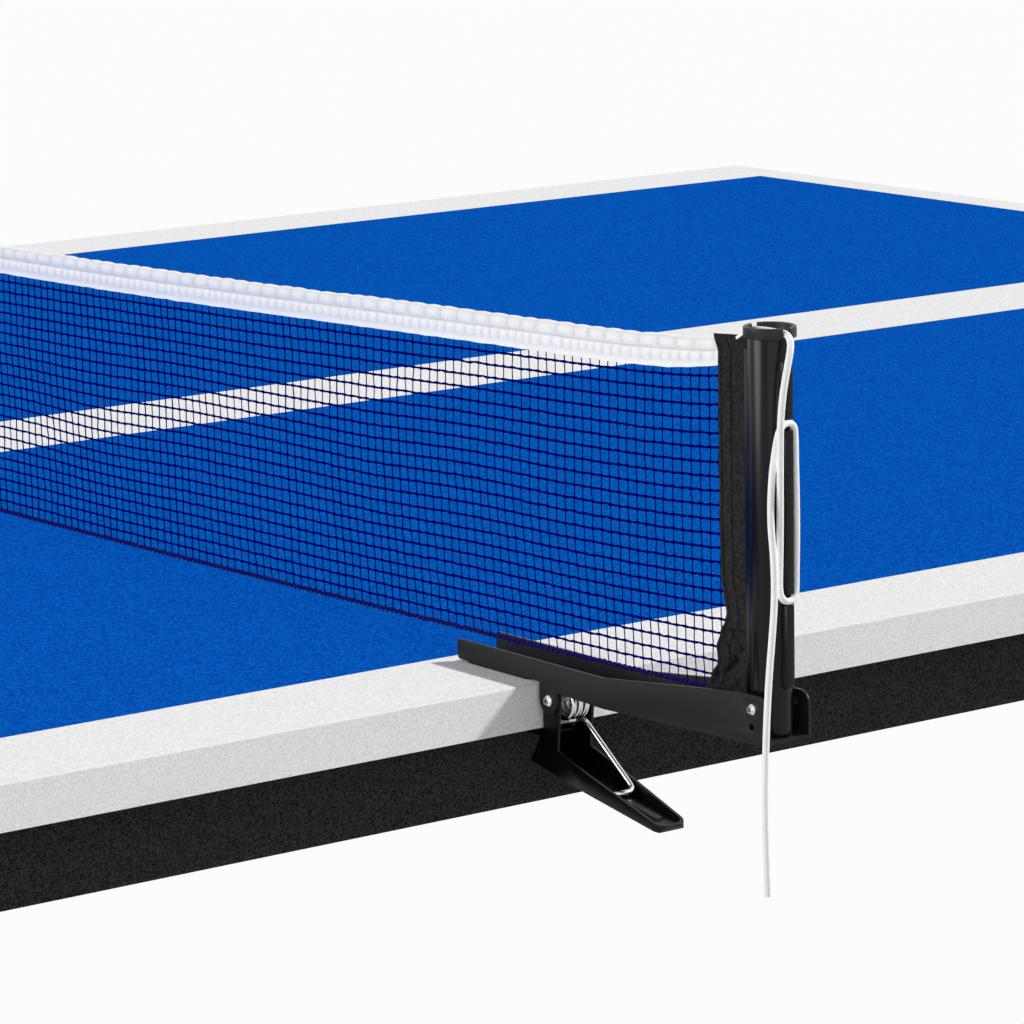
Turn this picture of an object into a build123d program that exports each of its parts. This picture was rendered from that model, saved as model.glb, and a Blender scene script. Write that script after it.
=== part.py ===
"""Full-size ping pong table on folding legs, with a clamp-on net set. Sizes in millimetres.

X runs along the table, Y across it and Z up. The origin is on the floor under the middle of
the net. Half a lies on the -X side and half b on the +X side. The near net clamp grips the
-Y edge, and the far clamp is the same set of pieces turned half round the Z axis.
"""

from build123d import *
import os
from math import atan, cos, pi, radians, sin, sqrt, tan

os.makedirs("parts", exist_ok=True)

# Playing surface
LENGTH = 2740
WIDTH = 1525
HEIGHT = 760
BOARD = 22
SEAM = 0.6
BAND = 2
BAND_ROUND = 0.8
BAND_JOINT = 0.1

# Folded steel rails under each half, set back from the edge so that the net clamp can grip the board
RAIL_SETBACK = 26
RAIL_DEPTH = 44
RAIL_FLANGE = 20
RAIL_WALL = 1.5
RAIL_JOINT = 0.1
INNER_RAIL_SETBACK = 32

# Plates that join the halves across the seam
PLATE_Y = 350
PLATE_WIDTH = 80
PLATE_THICK = 3
PLATE_OVERHANG = 4
BOLT_SPACING = 50
BOLT_R = 3
BOLT_CLEARANCE = 0.3
BOLT_HEAD = 4
BOLT_HEX_R = 5.8

# Folding leg frames
HINGE_DROP = 43
TUBE_R = 12.5
TUBE_WALL = 1.5
TUBE_OVER_HINGE = 11
CROSSBAR_R = 11
WELD_GAP = 0.05
INNER_X = 445
INNER_Y = 635
INNER_BARS = (50,)
OUTER_X = 1270
OUTER_Y = 245
OUTER_BARS = (60, 500)
FOOT_R = 16
FOOT_SOLE = 5
FOOT_HEIGHT = 24
FOOT_FIT = 0.05
FOOT_DRAFT = 3

# Hinge brackets and pins
BRACKET_PLATE = 2.5
BRACKET_LENGTH = 60
CHEEK_GAP = 0.5
CHEEK_R = 14
PIN_R = 4
RUNNING_FIT = 0.08
PIN_HEAD_R = 6.5
PIN_HEAD = 4.5
PIN_HEAD_DRAFT = 8

# Folding stays: two equal links on each leg, straight when the leg is down
STAY_REACH = 240
STAY_WIDTH = 16
STAY_THICK = 2.5
STAY_GAP = 1.0
LINK_GAP = 0.6
STUD_R = 4
KNEE_HEAD_R = 6
KNEE_HEAD = 1.5
KNEE_HEAD_DRAFT = 20
STAY_FOOT = 24

# Net clamp, in distances from the table's edge (inwards is +) and above the playing surface
STEEL = 1.5
ARM_HALF = 12.5
PAD = 1.5
PAD_ROUND = 4
UPPER_PAD = (8, 60)
LOWER_PAD = (4, 21)
LOWER_PAD_THICK = 2.4
JAW_TIP = 64
JAW_HIGH = 11.5
JAW_ROUND = 2.2
ARM_KINK = -50.5
ARM_RAMP_END = -152
ARM_HIGH = 22.8
ARM_END = -172
SKIRT_START = -1.9
SKIRT_LOW = (-50.5, -3.3)
SKIRT_END = 0.4
PIVOT = (-8.5, -7)
EAR_R = 6.5
PIVOT_R = 1.75
RIVET_HEAD_R = 2.8
RIVET_HEAD = 1.4
RIVET_HEAD_DRAFT = 35
RIVET_PLAY = 0.1
LEVER_GAP = 0.4
LEVER_HALF = ARM_HALF - STEEL - LEVER_GAP
LEVER_HEEL = (8.6, -39.4)
HEEL_INSIDE = (6.8, -38.05)
LEVER_KINK = (-34, -47.6)
LEVER_TIP = (-86, -57.2)
LEVER_NOSE = 2
LEVER_LIP = 3
LEVER_BACK = (-12.5, -31.5)
TIP_HALF = 8.5
TIP_ROUND = 0.7
LOWER_JAW = 22
BEAD = (36, 6, 1.2)
BEAD_DRAFT = 25

# Torsion spring, hanging loose on the pivot
WIRE_R = 1.4
COIL_SHIFT = (-2.2, -2.3)
COIL_R = 6.6
COIL_HALF = 6.6
ARM_LEG = 20
ARM_LEG_RISE = 2
LEVER_LEG = 49.6
LEVER_LEG_FALL = 36
WHOLE_TURNS = 3
HOOK_R = 4
HOOK = 10.3

# Net posts: a round tube with a slotted lip for the sleeve and a slit fin for the cord
POST = -160
POST_R = 10
POST_WALL = 1.5
POST_TOP = 184.5
POST_RIVET = 16
POST_RIVET_R = 2
POST_HEAD_R = 2.6
DRAIN = 8
DRAIN_R = 1.6
CAP_R = 12
CAP_TOP = 189.5
CAP_ROUND = 0.8
CAP_DISH_R = 9.8
CAP_DISH = 3
CAP_PLUG = 14
CAP_FIT = 0.05
GROOVE_HALF = 2.2
LIP = 2.8
LIP_HALF = 4.5
LIP_SLOT = 1.5
LIP_TOP = 178
FIN_HALF = 2.2
FIN_OUT = 3
FIN_LOW = 26
FIN_TOP = 174
FIN_HOLE = (106.5, 0.9)
SLITS = [(64.2, 69.3), (143.7, 148.9)]
SLIT_SEAT = 0.2

# Net
NET_END = -124
SLEEVE_THICK = 5
SLEEVE_ROUND = 2.2
SLEEVE_FLARE = 10
SLEEVE_SWELL = 1 / 3
SLEEVE_GATHER = 18
SLEEVE_MOUTH = 2.3
SLEEVE_MOUTH_DROP = 8
SLEEVE_TOP = 181.5
SEAT_GAP = 0.2
TAPE = 16
TAPE_THICK = 2.6
TAPE_END_TOP = 183.5
TAPE_MID_TOP = 158
HEM_R = 1.5
HEM_END = 17
HEM_MID = 7
STRAND = 0.9
NET_COLUMNS = 60
NET_ROWS = 5
CORD_R = 1.6
CORD_BEND_SHARE = 0.45

HALF = LENGTH / 2
EDGE = WIDTH / 2
UNDERSIDE = HEIGHT - BOARD
RAIL_LOW = UNDERSIDE - RAIL_DEPTH
HINGE_Z = HEIGHT - HINGE_DROP
HALVES = {"a": -1, "b": 1}
FRAMES = {"inner": (INNER_X, INNER_Y, 1, INNER_BARS), "outer": (OUTER_X, OUTER_Y, -1, OUTER_BARS)}


def keep(part, name):
    """Label a finished piece and write its file."""
    part.label = name
    export_step(part, f"parts/{name}.step")


def keep_pair(part, name):
    """Write a net-clamp piece at the near edge, and its copy turned round to the far edge."""
    keep(part, f"{name}_near")
    keep(part.rotate(Axis.Z, 180), f"{name}_far")


def keep_both(part, name):
    """Write the near and far copies of a piece that stays still as one node of two solids."""
    keep(Compound(children=[part, part.rotate(Axis.Z, 180)]), name)


def across(y):
    """Plane square to Y at the given distance, with X to the right and Z up."""
    return Plane(origin=(0, y, 0), x_dir=(1, 0, 0), z_dir=(0, -1, 0))


def at_edge(t, z):
    """Sketch point on the YZ plane from a distance inside the near edge and a height."""
    return (t - EDGE, HEIGHT + z)


def half_board(side):
    """One half of the playing surface, inside its edge band."""
    length = HALF - BAND - SEAM / 2
    with BuildPart() as board:
        with BuildSketch(Plane.XY.offset(UNDERSIDE)):
            with Locations((side * (SEAM + length) / 2, 0)):
                Rectangle(length, WIDTH - 2 * BAND)
        extrude(amount=BOARD)
    return board.part


def edge_band(side):
    """White strips on the two long edges and the end of one half."""
    length = HALF - SEAM / 2
    with BuildPart() as band:
        with BuildSketch(Plane.XY.offset(UNDERSIDE)):
            with Locations((side * (SEAM / 2 + length / 2), 0)):
                with GridLocations(0, WIDTH - BAND, 1, 2):
                    Rectangle(length, BAND)
            with Locations((side * (HALF - BAND / 2), 0)):
                Rectangle(BAND, WIDTH - 2 * BAND - 2 * BAND_JOINT)
        extrude(amount=BOARD)
        top = band.edges().group_by(Axis.Z)[-1]
        sides = top.filter_by(Axis.X).group_by(Axis.Y)
        end = top.filter_by(Axis.Y).group_by(Axis.X)[-1 if side > 0 else 0].sort_by(SortBy.LENGTH)[-1:]
        fillet(sides[0] + sides[-1] + end, BAND_ROUND)
    return band.part


def channel_profile(outer, inner):
    """Rail section between its outer face and its flange edges, open towards the flange edges."""
    middle = RAIL_LOW + RAIL_DEPTH / 2
    sign = 1 if inner > outer else -1
    with Locations(((outer + inner) / 2, middle)):
        Rectangle(abs(inner - outer), RAIL_DEPTH)
    with Locations(((outer + inner + sign * RAIL_WALL) / 2, middle)):
        Rectangle(abs(inner - outer) - RAIL_WALL, RAIL_DEPTH - 2 * RAIL_WALL, mode=Mode.SUBTRACT)


def corner_plane(side, edge):
    """Mitre plane through one outer corner of the table, facing along the table's end."""
    return Plane(origin=(side * HALF, edge * EDGE, 0), z_dir=(side, -edge, 0))


def side_rail(side, edge):
    """Rail along a long edge, from the seam to the mitred corner."""
    face = EDGE - RAIL_SETBACK
    with BuildPart() as rail:
        with BuildSketch(Plane.YZ.offset(side * RAIL_JOINT / 2)):
            channel_profile(edge * face, edge * (face - RAIL_FLANGE))
        extrude(amount=side * (HALF - RAIL_JOINT / 2))
        split(bisect_by=corner_plane(side, edge), keep=Keep.BOTTOM)
    return rail.part


def end_rail(side):
    """Rail along a table end, mitred at both corners."""
    face = HALF - RAIL_SETBACK
    with BuildPart() as rail:
        with BuildSketch(across(0)):
            channel_profile(side * face, side * (face - RAIL_FLANGE))
        extrude(amount=EDGE, both=True)
        for edge in (-1, 1):
            split(bisect_by=corner_plane(side, edge), keep=Keep.TOP)
    return rail.part


def plate_bolts(side):
    """Bolt centres of the joining plates on one half, through its inner rail's lower flange."""
    x = side * (INNER_RAIL_SETBACK + RAIL_FLANGE / 2)
    rows = (-BOLT_SPACING / 2, BOLT_SPACING / 2)
    return [(x, end * PLATE_Y + row) for end in (-1, 1) for row in rows]


def inner_rail(side):
    """Cross rail beside the seam, drilled for the joining plates."""
    near = side * INNER_RAIL_SETBACK
    with BuildPart() as rail:
        with BuildSketch(across(0)):
            channel_profile(near, near + side * RAIL_FLANGE)
        extrude(amount=EDGE - RAIL_SETBACK - RAIL_FLANGE, both=True)
        with BuildSketch(Plane.XY.offset(RAIL_LOW)):
            with Locations(*plate_bolts(side)):
                Circle(BOLT_R + BOLT_CLEARANCE)
        extrude(amount=RAIL_WALL, mode=Mode.SUBTRACT)
    return rail.part


def joining_plates():
    """Two drilled plates under the inner rails' lower flanges."""
    length = 2 * (INNER_RAIL_SETBACK + RAIL_FLANGE + PLATE_OVERHANG)
    with BuildPart() as plates:
        with BuildSketch(Plane.XY.offset(RAIL_LOW - PLATE_THICK)):
            with GridLocations(0, 2 * PLATE_Y, 1, 2):
                RectangleRounded(length, PLATE_WIDTH, 2 * PLATE_OVERHANG)
            with Locations(*plate_bolts(-1), *plate_bolts(1)):
                Circle(BOLT_R + BOLT_CLEARANCE, mode=Mode.SUBTRACT)
        extrude(amount=PLATE_THICK)
    return plates.part


def joining_bolts():
    """Hexagon bolts with nuts that clamp the plates to the rails."""
    grip = PLATE_THICK + RAIL_WALL
    low = RAIL_LOW - PLATE_THICK
    centres = plate_bolts(-1) + plate_bolts(1)
    with BuildPart() as bolts:
        for height in (low - BOLT_HEAD, low + grip):
            with BuildSketch(Plane.XY.offset(height)):
                with Locations(*centres):
                    RegularPolygon(BOLT_HEX_R, 6)
            extrude(amount=BOLT_HEAD)
        with BuildSketch(Plane.XY.offset(low - BOLT_HEAD)):
            with Locations(*centres):
                Circle(BOLT_R)
        extrude(amount=grip + 2 * BOLT_HEAD + BOLT_R)
    return bolts.part


def leg_tubes(x, leg_y):
    """Two leg tubes of one frame, drilled for the hinge pins, with a stay stud welded to each."""
    stud_end = leg_y + TUBE_R + STAY_GAP + STAY_THICK + LINK_GAP / 3
    with BuildPart() as legs:
        with BuildSketch(Plane.XY.offset(FOOT_SOLE)):
            with GridLocations(0, 2 * leg_y, 1, 2):
                with Locations((x, 0)):
                    Circle(TUBE_R)
                    Circle(TUBE_R - TUBE_WALL, mode=Mode.SUBTRACT)
        extrude(amount=HINGE_Z + TUBE_OVER_HINGE - FOOT_SOLE)
        for edge in (-1, 1):
            with BuildSketch(across(edge * stud_end)):
                with Locations((x, HINGE_Z - STAY_REACH)):
                    Circle(STUD_R)
            extrude(amount=edge * (stud_end - leg_y - TUBE_R + TUBE_WALL))
        with BuildSketch(across(0)):
            with Locations((x, HINGE_Z)):
                Circle(PIN_R + RUNNING_FIT)
        extrude(amount=EDGE, both=True, mode=Mode.SUBTRACT)
    return legs.part


def crossbars(x, leg_y, drops):
    """Tubes welded between the legs of one frame, their ends coped to the leg tubes."""
    with BuildPart() as bars:
        with BuildSketch(across(0)):
            with Locations(*[(x, HINGE_Z - drop) for drop in drops]):
                Circle(CROSSBAR_R)
                Circle(CROSSBAR_R - TUBE_WALL, mode=Mode.SUBTRACT)
        extrude(amount=leg_y, both=True)
        with BuildSketch(Plane.XY):
            with Locations((x, -leg_y), (x, leg_y)):
                Circle(TUBE_R + WELD_GAP)
        extrude(amount=HEIGHT, mode=Mode.SUBTRACT)
    return bars.part


def foot_caps(x, leg_y):
    """Rubber cups on the leg ends."""
    with BuildPart() as feet:
        with BuildSketch():
            with Locations((x, -leg_y), (x, leg_y)):
                Circle(FOOT_R)
        extrude(amount=FOOT_HEIGHT, taper=FOOT_DRAFT)
        with BuildSketch(Plane.XY.offset(FOOT_SOLE)):
            with Locations((x, -leg_y), (x, leg_y)):
                Circle(TUBE_R + FOOT_FIT)
        extrude(amount=FOOT_HEIGHT, mode=Mode.SUBTRACT)
    return feet.part


def stay_pivots(x, fold):
    """Leg, knee and table pivots of a stay, as sketch points on a plane square to Y."""
    leg = (x, HINGE_Z - STAY_REACH)
    table = (x + fold * STAY_REACH, HINGE_Z)
    knee = (x + fold * STAY_REACH / 2, HINGE_Z - STAY_REACH / 2)
    return leg, knee, table


def stay_link(start, end, fold, face, hole_at, knee_head):
    """A round-ended link beside each leg, between two pivots, with its inner face at a given |Y|."""
    middle = ((start[0] + end[0]) / 2, (start[1] + end[1]) / 2)
    with BuildPart() as links:
        for edge in (-1, 1):
            with BuildSketch(across(edge * face)):
                with Locations(middle):
                    SlotCenterToCenter(STAY_REACH / sqrt(2), STAY_WIDTH, rotation=fold * 45)
                with Locations(hole_at):
                    Circle(STUD_R + RUNNING_FIT, mode=Mode.SUBTRACT)
            extrude(amount=-edge * STAY_THICK)
            if knee_head:
                with BuildSketch(across(edge * (face + STAY_THICK))):
                    with Locations(start):
                        Circle(KNEE_HEAD_R)
                extrude(amount=-edge * KNEE_HEAD, taper=KNEE_HEAD_DRAFT)
    return links.part


def hinge_brackets():
    """U brackets under the boards, one over the top of every leg."""
    half_gap = TUBE_R + CHEEK_GAP
    with BuildPart() as brackets:
        for side in HALVES.values():
            for frame_x, leg_y, fold, drops in FRAMES.values():
                x = side * frame_x
                with BuildSketch(Plane.XY.offset(UNDERSIDE - BRACKET_PLATE)):
                    with Locations((x, -leg_y), (x, leg_y)):
                        Rectangle(BRACKET_LENGTH, 2 * (half_gap + BRACKET_PLATE))
                extrude(amount=BRACKET_PLATE)
                for y in (-leg_y, leg_y):
                    for face in (y - half_gap, y + half_gap + BRACKET_PLATE):
                        with BuildSketch(across(face)) as cheek:
                            with BuildLine():
                                low_left = (x - CHEEK_R, HINGE_Z)
                                low_right = (x + CHEEK_R, HINGE_Z)
                                top = UNDERSIDE - BRACKET_PLATE
                                ThreePointArc(low_left, (x, HINGE_Z - CHEEK_R), low_right)
                                Polyline(low_right, (x + BRACKET_LENGTH / 2, top),
                                         (x - BRACKET_LENGTH / 2, top), low_left)
                            make_face()
                            with Locations((x, HINGE_Z)):
                                Circle(PIN_R + RUNNING_FIT, mode=Mode.SUBTRACT)
                        extrude(amount=BRACKET_PLATE)
    return brackets.part


def hinge_pins():
    """Headed pins through the hinge brackets and the leg tops."""
    reach = TUBE_R + CHEEK_GAP + BRACKET_PLATE
    with BuildPart() as pins:
        for side in HALVES.values():
            for frame_x, leg_y, fold, drops in FRAMES.values():
                for y in (-leg_y, leg_y):
                    with BuildSketch(across(y)):
                        with Locations((side * frame_x, HINGE_Z)):
                            Circle(PIN_R)
                    extrude(amount=reach, both=True)
                    for face, way in ((y - reach, 1), (y + reach, -1)):
                        with BuildSketch(across(face)):
                            with Locations((side * frame_x, HINGE_Z)):
                                Circle(PIN_HEAD_R)
                        extrude(amount=way * PIN_HEAD, taper=PIN_HEAD_DRAFT)
    return pins.part


def stay_brackets(link_face):
    """Angle brackets under the boards, each with a stud for the upper link of a stay."""
    with BuildPart() as brackets:
        for side in HALVES.values():
            for frame_x, leg_y, fold, drops in FRAMES.values():
                x = side * (frame_x + fold * STAY_REACH)
                stud_face = leg_y + link_face - LINK_GAP / 3
                cheek_face = leg_y + link_face + STAY_THICK + LINK_GAP
                for edge in (-1, 1):
                    with BuildSketch(Plane.XY.offset(UNDERSIDE - BRACKET_PLATE)):
                        with Locations((x, edge * (cheek_face + STAY_FOOT / 2))):
                            Rectangle(BRACKET_LENGTH, STAY_FOOT)
                    extrude(amount=BRACKET_PLATE)
                    with BuildSketch(across(edge * cheek_face)):
                        with Locations((x, HINGE_Z)):
                            Circle(CHEEK_R)
                        with Locations((x, (HINGE_Z + UNDERSIDE) / 2)):
                            Rectangle(2 * CHEEK_R, UNDERSIDE - HINGE_Z)
                    extrude(amount=-edge * BRACKET_PLATE)
                    with BuildSketch(across(edge * stud_face)):
                        with Locations((x, HINGE_Z)):
                            Circle(STUD_R)
                    extrude(amount=-edge * (cheek_face - stud_face + BRACKET_PLATE))
    return brackets.part


def clamp_arm():
    """Folded channel: jaw over the board, ears for the pivot and a raised end round the post."""
    ear_low = (PIVOT[0], PIVOT[1] - EAR_R)
    ear_in = (PIVOT[0] + EAR_R, PIVOT[1])
    ear_out = (PIVOT[0] - EAR_R, PIVOT[1])
    skirt = [(ear_out[0], SKIRT_START), SKIRT_LOW, (ARM_END, SKIRT_END)]
    roof = [(ARM_END, ARM_HIGH), (ARM_RAMP_END, ARM_HIGH), (ARM_KINK, JAW_HIGH), (JAW_TIP, JAW_HIGH)]
    jaw = [(JAW_TIP, PAD), (ear_in[0], PAD), ear_in]
    with BuildPart() as arm:
        with BuildSketch(Plane.YZ) as walls:
            with BuildLine():
                ThreePointArc(at_edge(*ear_in), at_edge(*ear_low), at_edge(*ear_out))
                Polyline(*[at_edge(*point) for point in [ear_out] + skirt + roof + jaw])
            make_face()
            fillet(walls.vertices().group_by(Axis.X)[0].sort_by(Axis.Y)[-1], ARM_HALF / 2)
            fillet(walls.vertices().group_by(Axis.X)[-1], JAW_ROUND)
        extrude(amount=ARM_HALF, both=True)
        for low, high in ((PAD + STEEL, 2 * ARM_HIGH), (-ARM_HIGH, PAD)):
            with BuildSketch(Plane.YZ):
                with Locations(at_edge((JAW_TIP + ARM_END) / 2, (low + high) / 2)):
                    Rectangle(2 * (JAW_TIP - ARM_END), high - low)
            extrude(amount=ARM_HALF - STEEL, both=True, mode=Mode.SUBTRACT)
        with BuildSketch(Plane.YZ):
            with Locations(at_edge(*PIVOT)):
                Circle(PIVOT_R + RUNNING_FIT)
            with Locations(at_edge(POST, POST_RIVET)):
                Circle(POST_RIVET_R + CAP_FIT)
            with Locations(at_edge(POST, DRAIN)):
                Circle(DRAIN_R)
        extrude(amount=ARM_HALF, both=True, mode=Mode.SUBTRACT)
    return arm.part


def jaw_pad(low, thick, span, half):
    """Rubber pad on a jaw, between two distances inside the edge."""
    with BuildPart() as pad:
        with BuildSketch(Plane.XY.offset(HEIGHT + low)):
            with Locations((0, at_edge(sum(span) / 2, 0)[0])):
                RectangleRounded(2 * half, span[1] - span[0], PAD_ROUND)
        extrude(amount=thick)
    return pad.part


def lever_plan(inset):
    """Lever seen from above: straight at the jaw, then narrowing to a round tip."""
    half = LEVER_HALF - inset
    tip = TIP_HALF - inset
    end = LEVER_TIP[0] - LEVER_NOSE + inset
    with BuildSketch(Plane.XY.offset(HEIGHT + 2 * LEVER_TIP[1])) as plan:
        with BuildLine():
            points = [(half, LOWER_JAW), (half, LEVER_KINK[0]), (tip, end)]
            mirrored = [(-x, t) for x, t in reversed(points)]
            Polyline(*[(x, at_edge(t, 0)[0]) for x, t in points + mirrored], close=True)
        make_face()
        fillet(plan.vertices().group_by(Axis.Y)[0], TIP_ROUND * tip)
    return plan.sketch


def clamp_lever():
    """Squeeze lever: two cheeks on the pivot, a web, the lower jaw and a tapering channel handle."""
    pivot_in = (PIVOT[0] + EAR_R, PIVOT[1])
    pivot_out = (PIVOT[0] - EAR_R, PIVOT[1])
    slope = (LEVER_KINK[1] - LEVER_TIP[1]) / (LEVER_KINK[0] - LEVER_TIP[0])
    jaw_top = -BOARD - LOWER_PAD_THICK
    front = [pivot_in, (pivot_in[0], -BOARD), LEVER_HEEL, LEVER_KINK, LEVER_TIP]
    back = [(LEVER_TIP[0] - LEVER_NOSE, LEVER_TIP[1] + LEVER_LIP)] + [LEVER_BACK, pivot_out]
    lean = (LEVER_HEEL[0] - pivot_in[0]) / (LEVER_HEEL[1] + BOARD)
    web_top = (pivot_in[0] + lean * (jaw_top - STEEL + BOARD) - STEEL, jaw_top - STEEL)
    far = 2 * LEVER_TIP[0]
    floor = [web_top, HEEL_INSIDE, (LEVER_KINK[0], LEVER_KINK[1] + STEEL),
             (far, LEVER_KINK[1] + STEEL + slope * (far - LEVER_KINK[0]))]
    sky = [(far, LOWER_JAW), (LOWER_JAW, LOWER_JAW), (LOWER_JAW, web_top[1])]
    with BuildPart() as core:
        with BuildSketch(Plane.YZ):
            with BuildLine():
                Polyline(*[at_edge(*point) for point in floor + sky], close=True)
            make_face()
        extrude(amount=LEVER_HALF, both=True)
        extrude(to_extrude=lever_plan(STEEL), amount=-4 * LEVER_TIP[1], mode=Mode.INTERSECT)
    with BuildPart() as lever:
        with BuildSketch(Plane.YZ):
            with BuildLine():
                ThreePointArc(at_edge(*pivot_out), at_edge(PIVOT[0], PIVOT[1] + EAR_R), at_edge(*pivot_in))
                Polyline(*[at_edge(*point) for point in front + back])
            make_face()
        extrude(amount=LEVER_HALF, both=True)
        extrude(to_extrude=lever_plan(0), amount=-4 * LEVER_TIP[1], mode=Mode.INTERSECT)
        add(core.part, mode=Mode.SUBTRACT)
        with BuildSketch(Plane.XY.offset(HEIGHT + jaw_top)) as jaw:
            with Locations((0, at_edge((LOWER_JAW + web_top[0]) / 2, 0)[0])):
                Rectangle(2 * LEVER_HALF, LOWER_JAW - web_top[0])
            fillet(jaw.vertices().group_by(Axis.Y)[-1], PAD_ROUND)
        extrude(amount=-STEEL)
        tilt = atan(slope)
        bead = (LEVER_KINK[0] + LEVER_TIP[0]) / 2
        bead_z = LEVER_KINK[1] + STEEL + slope * (bead - LEVER_KINK[0])
        along = (0, -cos(tilt), -sin(tilt))
        upright = (0, -sin(tilt), cos(tilt))
        with BuildSketch(Plane(origin=(0, *at_edge(bead, bead_z)), x_dir=along, z_dir=upright)):
            SlotOverall(BEAD[0], BEAD[1])
        extrude(amount=BEAD[2], taper=BEAD_DRAFT)
        with BuildSketch(Plane.YZ):
            with Locations(at_edge(*PIVOT)):
                Circle(PIVOT_R + RUNNING_FIT)
        extrude(amount=LEVER_HALF, both=True, mode=Mode.SUBTRACT)
    return lever.part


def cross_rivet(t, z, reach, radius, head_r, head):
    """Rivet across a clamp with a domed head outside each wall."""
    with BuildPart() as rivet:
        with BuildSketch(Plane.YZ):
            with Locations(at_edge(t, z)):
                Circle(radius)
        extrude(amount=reach, both=True)
        for way in (-1, 1):
            with BuildSketch(Plane.YZ.offset(way * reach)):
                with Locations(at_edge(t, z)):
                    Circle(head_r)
            extrude(amount=way * head, taper=RIVET_HEAD_DRAFT)
    return rivet.part


def biarc(start, start_way, end, end_way):
    """Two tangent arcs between two points, leaving and arriving in the given unit directions."""
    chord = end - start
    ways = start_way + end_way
    spread = 2 * (1 - start_way.dot(end_way))
    along = chord.dot(ways)
    handle = (sqrt(along**2 + spread * chord.dot(chord)) - along) / spread
    corner_a = start + start_way * handle
    corner_b = end - end_way * handle
    middle = (corner_a + corner_b) * 0.5
    TangentArc(start, middle, tangent=start_way)
    TangentArc(middle, end, tangent=(corner_b - corner_a).normalized())


def least_gap(path, apart, diameter, count=700):
    """Smallest clearance of a round wire to its own turns that are at least some length apart."""
    points = [path.position_at(i / count) for i in range(count + 1)]
    skip = round(count * apart / path.length)
    return min((a - b).length for i, a in enumerate(points) for b in points[i + skip:]) - diameter


def torsion_spring():
    """Wire spring: a leg under the arm, turns round the pivot, and a hooked leg along the handle."""
    centre = Vector(0, *at_edge(PIVOT[0] + COIL_SHIFT[0], PIVOT[1] + COIL_SHIFT[1]))
    first = 90 - ARM_LEG_RISE
    last = LEVER_LEG_FALL - 90 - 360 * WHOLE_TURNS
    spans = round((first - last) / 180)
    lead = 2 * COIL_HALF / radians(first - last)

    def on_coil(angle):
        """Point on the coil's centre line at an angle about the pivot."""
        x = -COIL_HALF + lead * radians(first - angle)
        return centre + Vector(x, COIL_R * cos(radians(angle)), COIL_R * sin(radians(angle)))

    def wire_way(angle):
        """Direction of the wire at an angle about the pivot, square to the pivot at both ends."""
        advance = 0 if angle in (first, last) else lead
        return Vector(advance, COIL_R * sin(radians(angle)), -COIL_R * cos(radians(angle))).normalized()

    angles = [first + (last - first) * i / spans for i in range(spans)] + [last]
    with BuildPart() as spring:
        with BuildLine() as wire:
            Line(on_coil(first) - wire_way(first) * ARM_LEG, on_coil(first))
            for angle, following in zip(angles, angles[1:]):
                biarc(on_coil(angle), wire_way(angle), on_coil(following), wire_way(following))
            bend = on_coil(last) + wire_way(last) * LEVER_LEG
            Line(on_coil(last), bend)
            hook = bend + (wire_way(last) - Vector(1, 0, 0)) * HOOK_R
            TangentArc(bend, hook, tangent=wire_way(last))
            Line(hook, hook - Vector(HOOK, 0, 0))
        with BuildSketch(Plane(origin=wire.line @ 0, z_dir=wire.line % 0)):
            Circle(WIRE_R)
        sweep()
    gap = least_gap(wire.wires()[0], pi * COIL_R, 2 * WIRE_R)
    print(f"spring: least gap to itself {gap:.2f} mm")
    return spring.part


def net_post():
    """Post tube with a slotted lip that holds the sleeve's edge, and a fin slit for the cord."""
    foot = PAD + STEEL
    back = POST - POST_R
    face = back - FIN_OUT
    with BuildPart() as post:
        with BuildSketch(Plane.XY.offset(HEIGHT + foot)):
            with Locations((0, at_edge(POST, 0)[0])):
                Circle(POST_R)
        extrude(amount=POST_TOP - foot)
        with BuildSketch(Plane.XY.offset(HEIGHT + foot)):
            with Locations((0, at_edge(POST + POST_R, 0)[0])):
                Rectangle(2 * LIP_HALF, 2 * LIP)
        extrude(amount=LIP_TOP - foot)
        with BuildSketch(Plane.YZ) as fin:
            with Locations(at_edge((POST + face) / 2, (FIN_LOW + FIN_TOP) / 2)):
                Rectangle(POST - face, FIN_TOP - FIN_LOW)
            fillet(fin.vertices().group_by(Axis.X)[0], FIN_OUT / 2)
            for low, high in SLITS:
                with Locations(at_edge(face - SLIT_SEAT, (low + high) / 2)):
                    Rectangle(2 * FIN_OUT, high - low, mode=Mode.SUBTRACT)
            with Locations(at_edge((face + back) / 2, FIN_HOLE[0])):
                Circle(FIN_HOLE[1], mode=Mode.SUBTRACT)
        extrude(amount=FIN_HALF, both=True)
        with BuildSketch(Plane.XY.offset(HEIGHT + foot)):
            with Locations((0, at_edge(POST, 0)[0])):
                Circle(POST_R - POST_WALL)
            with Locations((0, at_edge(POST + POST_R + LIP, 0)[0])):
                Rectangle(2 * LIP_SLOT, 2 * LIP)
        extrude(amount=POST_TOP - foot, mode=Mode.SUBTRACT)
        with BuildSketch(Plane.YZ):
            with Locations(at_edge(POST, POST_RIVET)):
                Circle(POST_RIVET_R + CAP_FIT)
        extrude(amount=POST_R, both=True, mode=Mode.SUBTRACT)
    return post.part


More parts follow.
